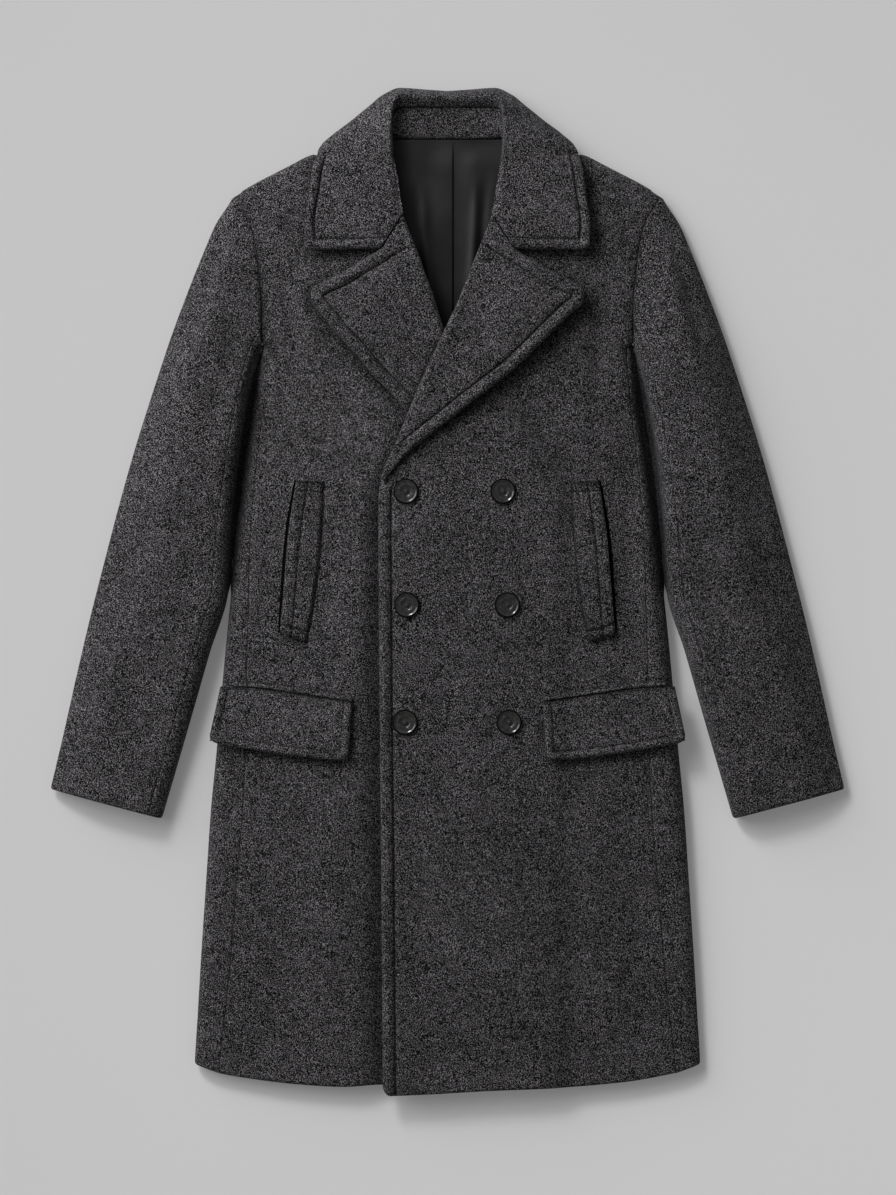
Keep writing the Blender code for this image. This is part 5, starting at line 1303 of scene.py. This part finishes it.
def make_satin():
    """Black satin lining: fine weft ribs with a soft lengthwise gloss."""
    made, at, link = finish_of("black_satin", 0.4, Sheen_Weight=0.03, Sheen_Roughness=0.3,
                               Specular_IOR_Level=0.33)
    rib = at.noise((250.0, 2400.0, 250.0), 0.0, 2.0)
    pull = at.noise((900.0, 45.0, 60.0), 0.05, 2.0, (0.2, 0.4, 0.0))
    shade = at.noise((30.0, 22.0, 30.0), 0.3, 2.0, (0.6, 0.1, 0.2))
    tone = (rib * 0.4 + shade * 0.6).step(0.3, 0.7).mixed(grey(0.0028), grey(0.0075))
    height = rib * 0.4 + pull * 0.4 + shade * 0.3
    link(Base_Color=tone, Roughness=0.33 + 0.2 * shade, Normal=height.bumped(0.3, 0.3 * MM))
    return made


def make_pocketing_and_shade():
    """Matt black cotton of the pocket bags, seen only inside the pocket mouths; its near-black is also
    painted shade for the depth of the opening.
    """
    made, at, link = finish_of("black_pocketing_and_painted_shade", 1.0, Specular_IOR_Level=0.05)
    weave = at.noise(1200.0, 0.7, 1.0)
    link(Base_Color=weave.step(0.3, 0.7).mixed(grey(0.001), grey(0.003)))
    return made


def make_plastic():
    """Dark moulded button plastic with faint streaks, polished on its face, near-black and matt round its
    side: partly the button's own dark edge, partly painted contact shadow.
    """
    made, at, link = finish_of("button_gloss", 0.3, Specular_IOR_Level=0.1, Coat_Roughness=0.1)
    streak = at.noise((160.0, 620.0, 300.0), 0.6, 3.0)
    cloud = at.noise(260.0, 0.0, 2.0, (0.3, 0.2, 0.5))
    tone = (streak * 0.6 + cloud * 0.4).step(0.42, 0.62).mixed(grey(0.014), grey(0.034, 0.05))
    # the marked rim turns near-black, matt and without coat: the button's dark edge and painted contact
    # shadow
    side = at.attribute("side")
    link(Base_Color=side.mixed(tone, grey(0.0015)), Roughness=0.24 + 0.2 * cloud + 0.5 * side,
         Coat_Weight=1.0 - side, Normal=cloud.bumped(0.08, 0.3 * MM))
    return made


def make_thread():
    """Twisted dark thread."""
    made, at, link = finish_of("dark_thread", 0.75, Sheen_Weight=0.3, Sheen_Roughness=0.4)
    twist = at.noise((2600.0, 900.0, 2600.0), 0.7, 1.0)
    tone = twist.step(0.35, 0.65).mixed(grey(0.008), grey(0.035))
    link(Base_Color=tone, Normal=twist.bumped(0.6, 0.3 * MM))
    return made


LAMP_AWAY = (0.695, -0.719, 0.0)        # over the floor, the way that leads from the lamps


def make_floor():
    """Pale light board, a little darker towards the lamps, so that it looks even under them, and
    faintly glowing, so that the shadows on it are pale."""
    made, at, link = finish_of("pale_board", 0.85, Specular_IOR_Level=0.2, Emission_Strength=0.11,
                               Emission_Color=(1.0, 0.99, 0.995, 1.0))
    shade = at.noise(2.2, 0.0, 2.0)
    away = at.node("ShaderNodeVectorMath", {0: at, 1: LAMP_AWAY}, out="Value", operation="DOT_PRODUCT")
    away = away.node("ShaderNodeClamp", {"Value": away, "Min": -0.8, "Max": 0.8})
    level = away * (away * 0.018 + 0.236) + 0.524 + shade * 0.016
    link(Base_Color=level.node("ShaderNodeCombineColor",
                               {"Red": level, "Green": level * 0.991, "Blue": level * 0.996}))
    return made


# ---- buttons ---------------------------------------------------------------------------------------
BUTTONS = table("y inner outer", (106, -43.5, 58), (-13, -42.5, 62.5), (-136, -44.5, 64.5))
BUTTON_RADIUS, BUTTON_BODY, BUTTON_SOFT = 13.4 * MM, 3.4 * MM, 0.35 * MM
HOLE_CIRCLE, HOLE_RADIUS = 2.1 * MM, 0.95 * MM
THREAD_RADIUS, THREAD_APART = 0.34 * MM, 0.32 * MM
THREAD_UP, THREAD_FLAT = 0.9 * MM, 0.72
SHANK_RADIUS, SHANK_LENGTH = 2.3 * MM, 1.6 * MM
SHANK_Z = -0.5 * MM          # middle of the shank, under the button's back
BUTTON_UP = 0.9 * MM         # a button's back over the cloth, on its shank
BACK_RIM, BACK_HOLLOW = 2.2 * MM, 5.0 * MM
CLOTH_STEP = 6.0 * MM        # the cloth's slope is taken over twice this width
# the turned face from the outside in: width of each step and its rise, in millimetres
BUTTON_STEPS = ((1.2, 0.5), (1.0, 0.0), (1.2, -0.8), (1.7, -0.1), (0.6, 0.3), (0.6, -0.3), (1.4, -0.05),
                (0.7, -0.7), (1.2, -0.05))
BUTTON_DARK = 1.6 * MM       # outer edge painted near-black: the button's own dark edge and painted contact shadow round it


def start_new():
    """Object mode with nothing selected."""
    if bpy.context.mode != "OBJECT":
        bpy.ops.object.mode_set(mode="OBJECT")
    bpy.ops.object.select_all(action="DESELECT")


def pick_faces(thing, kept):
    """Selects the faces whose centre and normal pass a test; edit mode is entered with them."""
    bpy.ops.object.mode_set(mode="EDIT")
    bpy.ops.mesh.select_mode(type="FACE")
    bpy.ops.mesh.select_all(action="DESELECT")
    bpy.ops.object.mode_set(mode="OBJECT")
    for face in thing.data.polygons:
        face.select = bool(kept(face.center, face.normal))
    bpy.ops.object.mode_set(mode="EDIT")


def model_button():
    """A turned button: rounded rim, dished face, a sunk middle with four holes."""
    start_new()
    bpy.ops.mesh.primitive_cylinder_add(vertices=56, radius=BUTTON_RADIUS, depth=BUTTON_BODY,
                                        location=(0, 0, BUTTON_BODY / 2))
    made = bpy.context.object
    pick_faces(made, lambda centre, n: n.z > 0.9)
    for width, depth in BUTTON_STEPS:
        bpy.ops.mesh.inset(thickness=width * MM, depth=depth * MM)
    pick_faces(made, lambda centre, n: n.z < -0.9)
    bpy.ops.mesh.inset(thickness=BACK_RIM, depth=BUTTON_SOFT)
    bpy.ops.mesh.inset(thickness=BACK_HOLLOW)
    bpy.ops.object.mode_set(mode="OBJECT")
    soft = made.modifiers.new("soft", "BEVEL")
    soft.width, soft.segments = BUTTON_SOFT, 3
    soft.limit_method, soft.angle_limit = "ANGLE", np.radians(14)
    bpy.ops.object.modifier_apply(modifier="soft")
    for k in range(4):
        turn = np.radians(45 + 90 * k)
        start_new()
        middle = (HOLE_CIRCLE * np.cos(turn), HOLE_CIRCLE * np.sin(turn), 0)
        bpy.ops.mesh.primitive_cylinder_add(vertices=18, radius=HOLE_RADIUS, depth=20 * MM, location=middle)
        pin = bpy.context.object
        start_new()
        made.select_set(True)
        bpy.context.view_layer.objects.active = made
        cut = made.modifiers.new("hole", "BOOLEAN")
        cut.operation, cut.object, cut.solver = "DIFFERENCE", pin, "EXACT"
        bpy.ops.object.modifier_apply(modifier="hole")
        bpy.data.objects.remove(pin, do_unlink=True)
    bpy.ops.object.shade_smooth_by_angle(angle=np.radians(38))
    places = np.zeros(3 * len(made.data.vertices))
    made.data.vertices.foreach_get("co", places)
    # the outer rim is marked for near-black: the button's dark edge and painted contact shadow round it
    dark_edge_and_shadow = np.hypot(places[::3], places[1::3]) > BUTTON_RADIUS - BUTTON_DARK
    made.data.attributes.new("side", "FLOAT", "POINT").data.foreach_set("value", dark_edge_and_shadow.astype(np.float32))
    return made


def model_stitches():
    """Thread through a button: two crossed bars that dip into the holes, and the shank below."""
    start_new()
    bars = []
    for turn in (45, 135):
        for shift in (-THREAD_APART, THREAD_APART):
            bpy.ops.mesh.primitive_torus_add(major_radius=HOLE_CIRCLE, minor_radius=THREAD_RADIUS,
                                             major_segments=28, minor_segments=8,
                                             rotation=(np.radians(90), 0, np.radians(turn)))
            bar = bpy.context.object
            side = np.radians(turn + 90)
            bar.location = (shift * np.cos(side), shift * np.sin(side), THREAD_UP)
            bar.scale = (1.0, THREAD_FLAT, 1.0)
            bars.append(bar)
    bpy.ops.mesh.primitive_cylinder_add(vertices=18, radius=SHANK_RADIUS, depth=SHANK_LENGTH,
                                        location=(0, 0, SHANK_Z))
    bars.append(bpy.context.object)
    bpy.ops.object.select_all(action="DESELECT")
    for bar in bars:
        bar.select_set(True)
    bpy.context.view_layer.objects.active = bars[0]
    bpy.ops.object.transform_apply(location=True, rotation=True, scale=True)
    bpy.ops.object.join()
    bpy.ops.object.shade_smooth_by_angle(angle=np.radians(50))
    return bars[0]


def placed(name, model, place, finish, nodes):
    """A copy of a model with its own mesh, its place in the mesh."""
    mesh = model.data.copy()
    mesh.name = name
    mesh.transform(place)
    mesh.materials.clear()
    mesh.materials.append(finish)
    thing = settled(name, mesh, nodes)


def make_buttons(plastic, thread):
    """Six buttons, each tilted with the cloth below it and turned a little on its thread."""
    button, stitches = model_button(), model_stitches()
    step = CLOTH_STEP
    for row in range(3):
        for column, name in enumerate(("inner", "outer")):
            x, y = BUTTONS[name][row], BUTTONS["y"][row]
            across, along = np.array([0, step, -step, 0, 0]), np.array([0, 0, 0, step, -step])
            at = front_outside(x + across, y + along, 1) + body_relief(x + across, y + along)
            n = Vector((at[2] - at[1], at[4] - at[3], 2 * step)).normalized()
            tilt = n.to_track_quat("Z", "Y").to_matrix().to_4x4()
            turn = Matrix.Rotation(np.radians(13 * row + 31 * column), 4, "Z")
            place = Matrix.Translation(Vector((x, y, at.max())) + n * BUTTON_UP) @ tilt @ turn
            number = f"{row + 1}_{column + 1}"
            placed(f"button_turned_{number}", button, place, plastic, [f"button_{number}"])
            placed(f"button_stitches_{number}", stitches, place, thread, [])
    for model in (button, stitches):
        bpy.data.objects.remove(model, do_unlink=True)


HOLE_START, HOLE_END = np.array((82.4, 311.6)) * MM, np.array((109.0, 308.2)) * MM
HOLE_HALF, HOLE_TAPER, HOLE_END_RUN, HOLE_WALL = 1.9 * MM, 4.0 * MM, 1.0 * MM, 0.9 * MM
HOLE_RIDGE, HOLE_RIB, HOLE_PITCH, HOLE_UP = 0.75 * MM, 0.1 * MM, 0.9 * MM, 0.35 * MM


def make_buttonhole(finish):
    """Worked buttonhole near the tip of the wearer's left lapel: two ridges of thread and a slit."""
    way = unit(HOLE_END - HOLE_START)
    across = np.array([-way[1], way[0]])
    s = spaced(np.linalg.norm(HOLE_END - HOLE_START), 60, RIM, RIM)[0]
    t = -np.cos(np.linspace(0, np.pi, 33)) * HOLE_HALF
    past = np.clip(np.abs(s - s[-1] / 2) * 2 - (s[-1] - HOLE_TAPER), 0, None)
    taper = np.sqrt(np.clip(1 - past ** 2 / HOLE_TAPER ** 2, 0.02, 1))
    plan = HOLE_START + s[:, None, None] * way + (t[None, :, None] * taper[:, None, None]) * across
    x, y = plan[..., 0], plan[..., 1]
    u = np.abs(t)[None] / HOLE_HALF + 0 * x
    end_off = np.minimum(s, s[-1] - s)[:, None] + 0 * x
    ridge = HOLE_RIDGE * np.sqrt(np.clip(1 - ((u - 0.55) / 0.45) ** 2, 0, 1)) * smooth(end_off / HOLE_END_RUN)
    rib = HOLE_RIB * np.sin(2 * np.pi * s[:, None] / HOLE_PITCH) * (u > 0.15)
    grid = points_of(x, y, turned_bottom(x, y, 1) + LAPEL_WALL + HOLE_UP + ridge + rib)
    off = np.minimum((1 - u) * HOLE_HALF, end_off)
    hole = shell("buttonhole_lapel", grid, upward(grid), HOLE_WALL, [(off, "free")], finish, [])


def make_coat():
    """All pieces of the coat, with their finishes."""
    wool, satin, plastic, thread = make_wool(), make_satin(), make_plastic(), make_thread()
    pocketing_and_shade = make_pocketing_and_shade()
    cloths = [make_back(wool), make_collar(wool), make_stand(wool), make_lining(satin)]
    for side, word in ((1, "left"), (-1, "right")):
        cloths += [make_front(word, side, wool), make_side(word, side, wool), make_lapel(word, side, wool),
                   make_welt(word, side, wool), *make_sleeve(word, side, wool)]
        # a near-black strip in each pocket mouth: the pocket bag and painted shade of the opening
        make_mouth(word, side, pocketing_and_shade)
        cloths += [pocket_strip(f"flap_{word}", side, FLAP_TOP, FLAP_FOOT, 24, FLAP_LIFT, FLAP_WALL,
                                FLAP_CORNER, FLAP_STITCH, wool),
                   pocket_strip(f"jet_{word}", side, JET_TOP, JET_FOOT, 12, JET_LIFT, JET_WALL, 0, 0, wool)]
    make_buttonhole(thread)
    make_buttons(plastic, thread)


# name, direction, distance, side and strength of the lamps
LAMPS = (("key", (-0.65, 1.0, 0.95), 3.5, 0.8, 1.27), ("window", (-1.0, 0.75, 0.8), 3.5, 3.4, 3.07))
ROOM_LIGHT = 0.19
BOARD_SIZE, BOARD_Z = 9.0, -0.4 * MM
FRAME_HEIGHT, FRAME_AWAY = 1.255, 6.0     # so much of the board fills the view's height from so far away
EYE = (0.5 * MM, -5.3 * MM, 6.025)


def make_room():
    """Pale board, soft daylight from the upper left, camera straight above."""
    bpy.ops.mesh.primitive_plane_add(size=BOARD_SIZE, location=(0, 0, BOARD_Z))
    board = bpy.context.object
    board.name = "board"
    board.data.materials.append(make_floor())
    for name, way, far, size, power in LAMPS:
        light = bpy.data.lights.new(name, "AREA")
        light.size, light.energy = size, power * np.pi * far * far
        lamp = bpy.data.objects.new(name, light)
        bpy.context.scene.collection.objects.link(lamp)
        lamp.location = Vector(way).normalized() * far
        lamp.rotation_euler = (-Vector(way)).to_track_quat("-Z", "Y").to_euler()
    world = bpy.data.worlds.new("room")
    world.use_nodes = True
    sky = world.node_tree.nodes["Background"].inputs
    sky["Color"].default_value, sky["Strength"].default_value = (1.0, 1.0, 1.0, 1.0), ROOM_LIGHT
    scene = bpy.context.scene
    scene.world = world
    camera = bpy.data.cameras.new("above")
    camera.lens = camera.sensor_width * FRAME_AWAY / FRAME_HEIGHT
    camera.clip_end = 30.0
    eye = bpy.data.objects.new("above", camera)
    eye.location = EYE
    scene.collection.objects.link(eye)
    scene.camera = eye
    scene.view_settings.view_transform, scene.view_settings.look = "Standard", "None"


make_coat()
make_room()
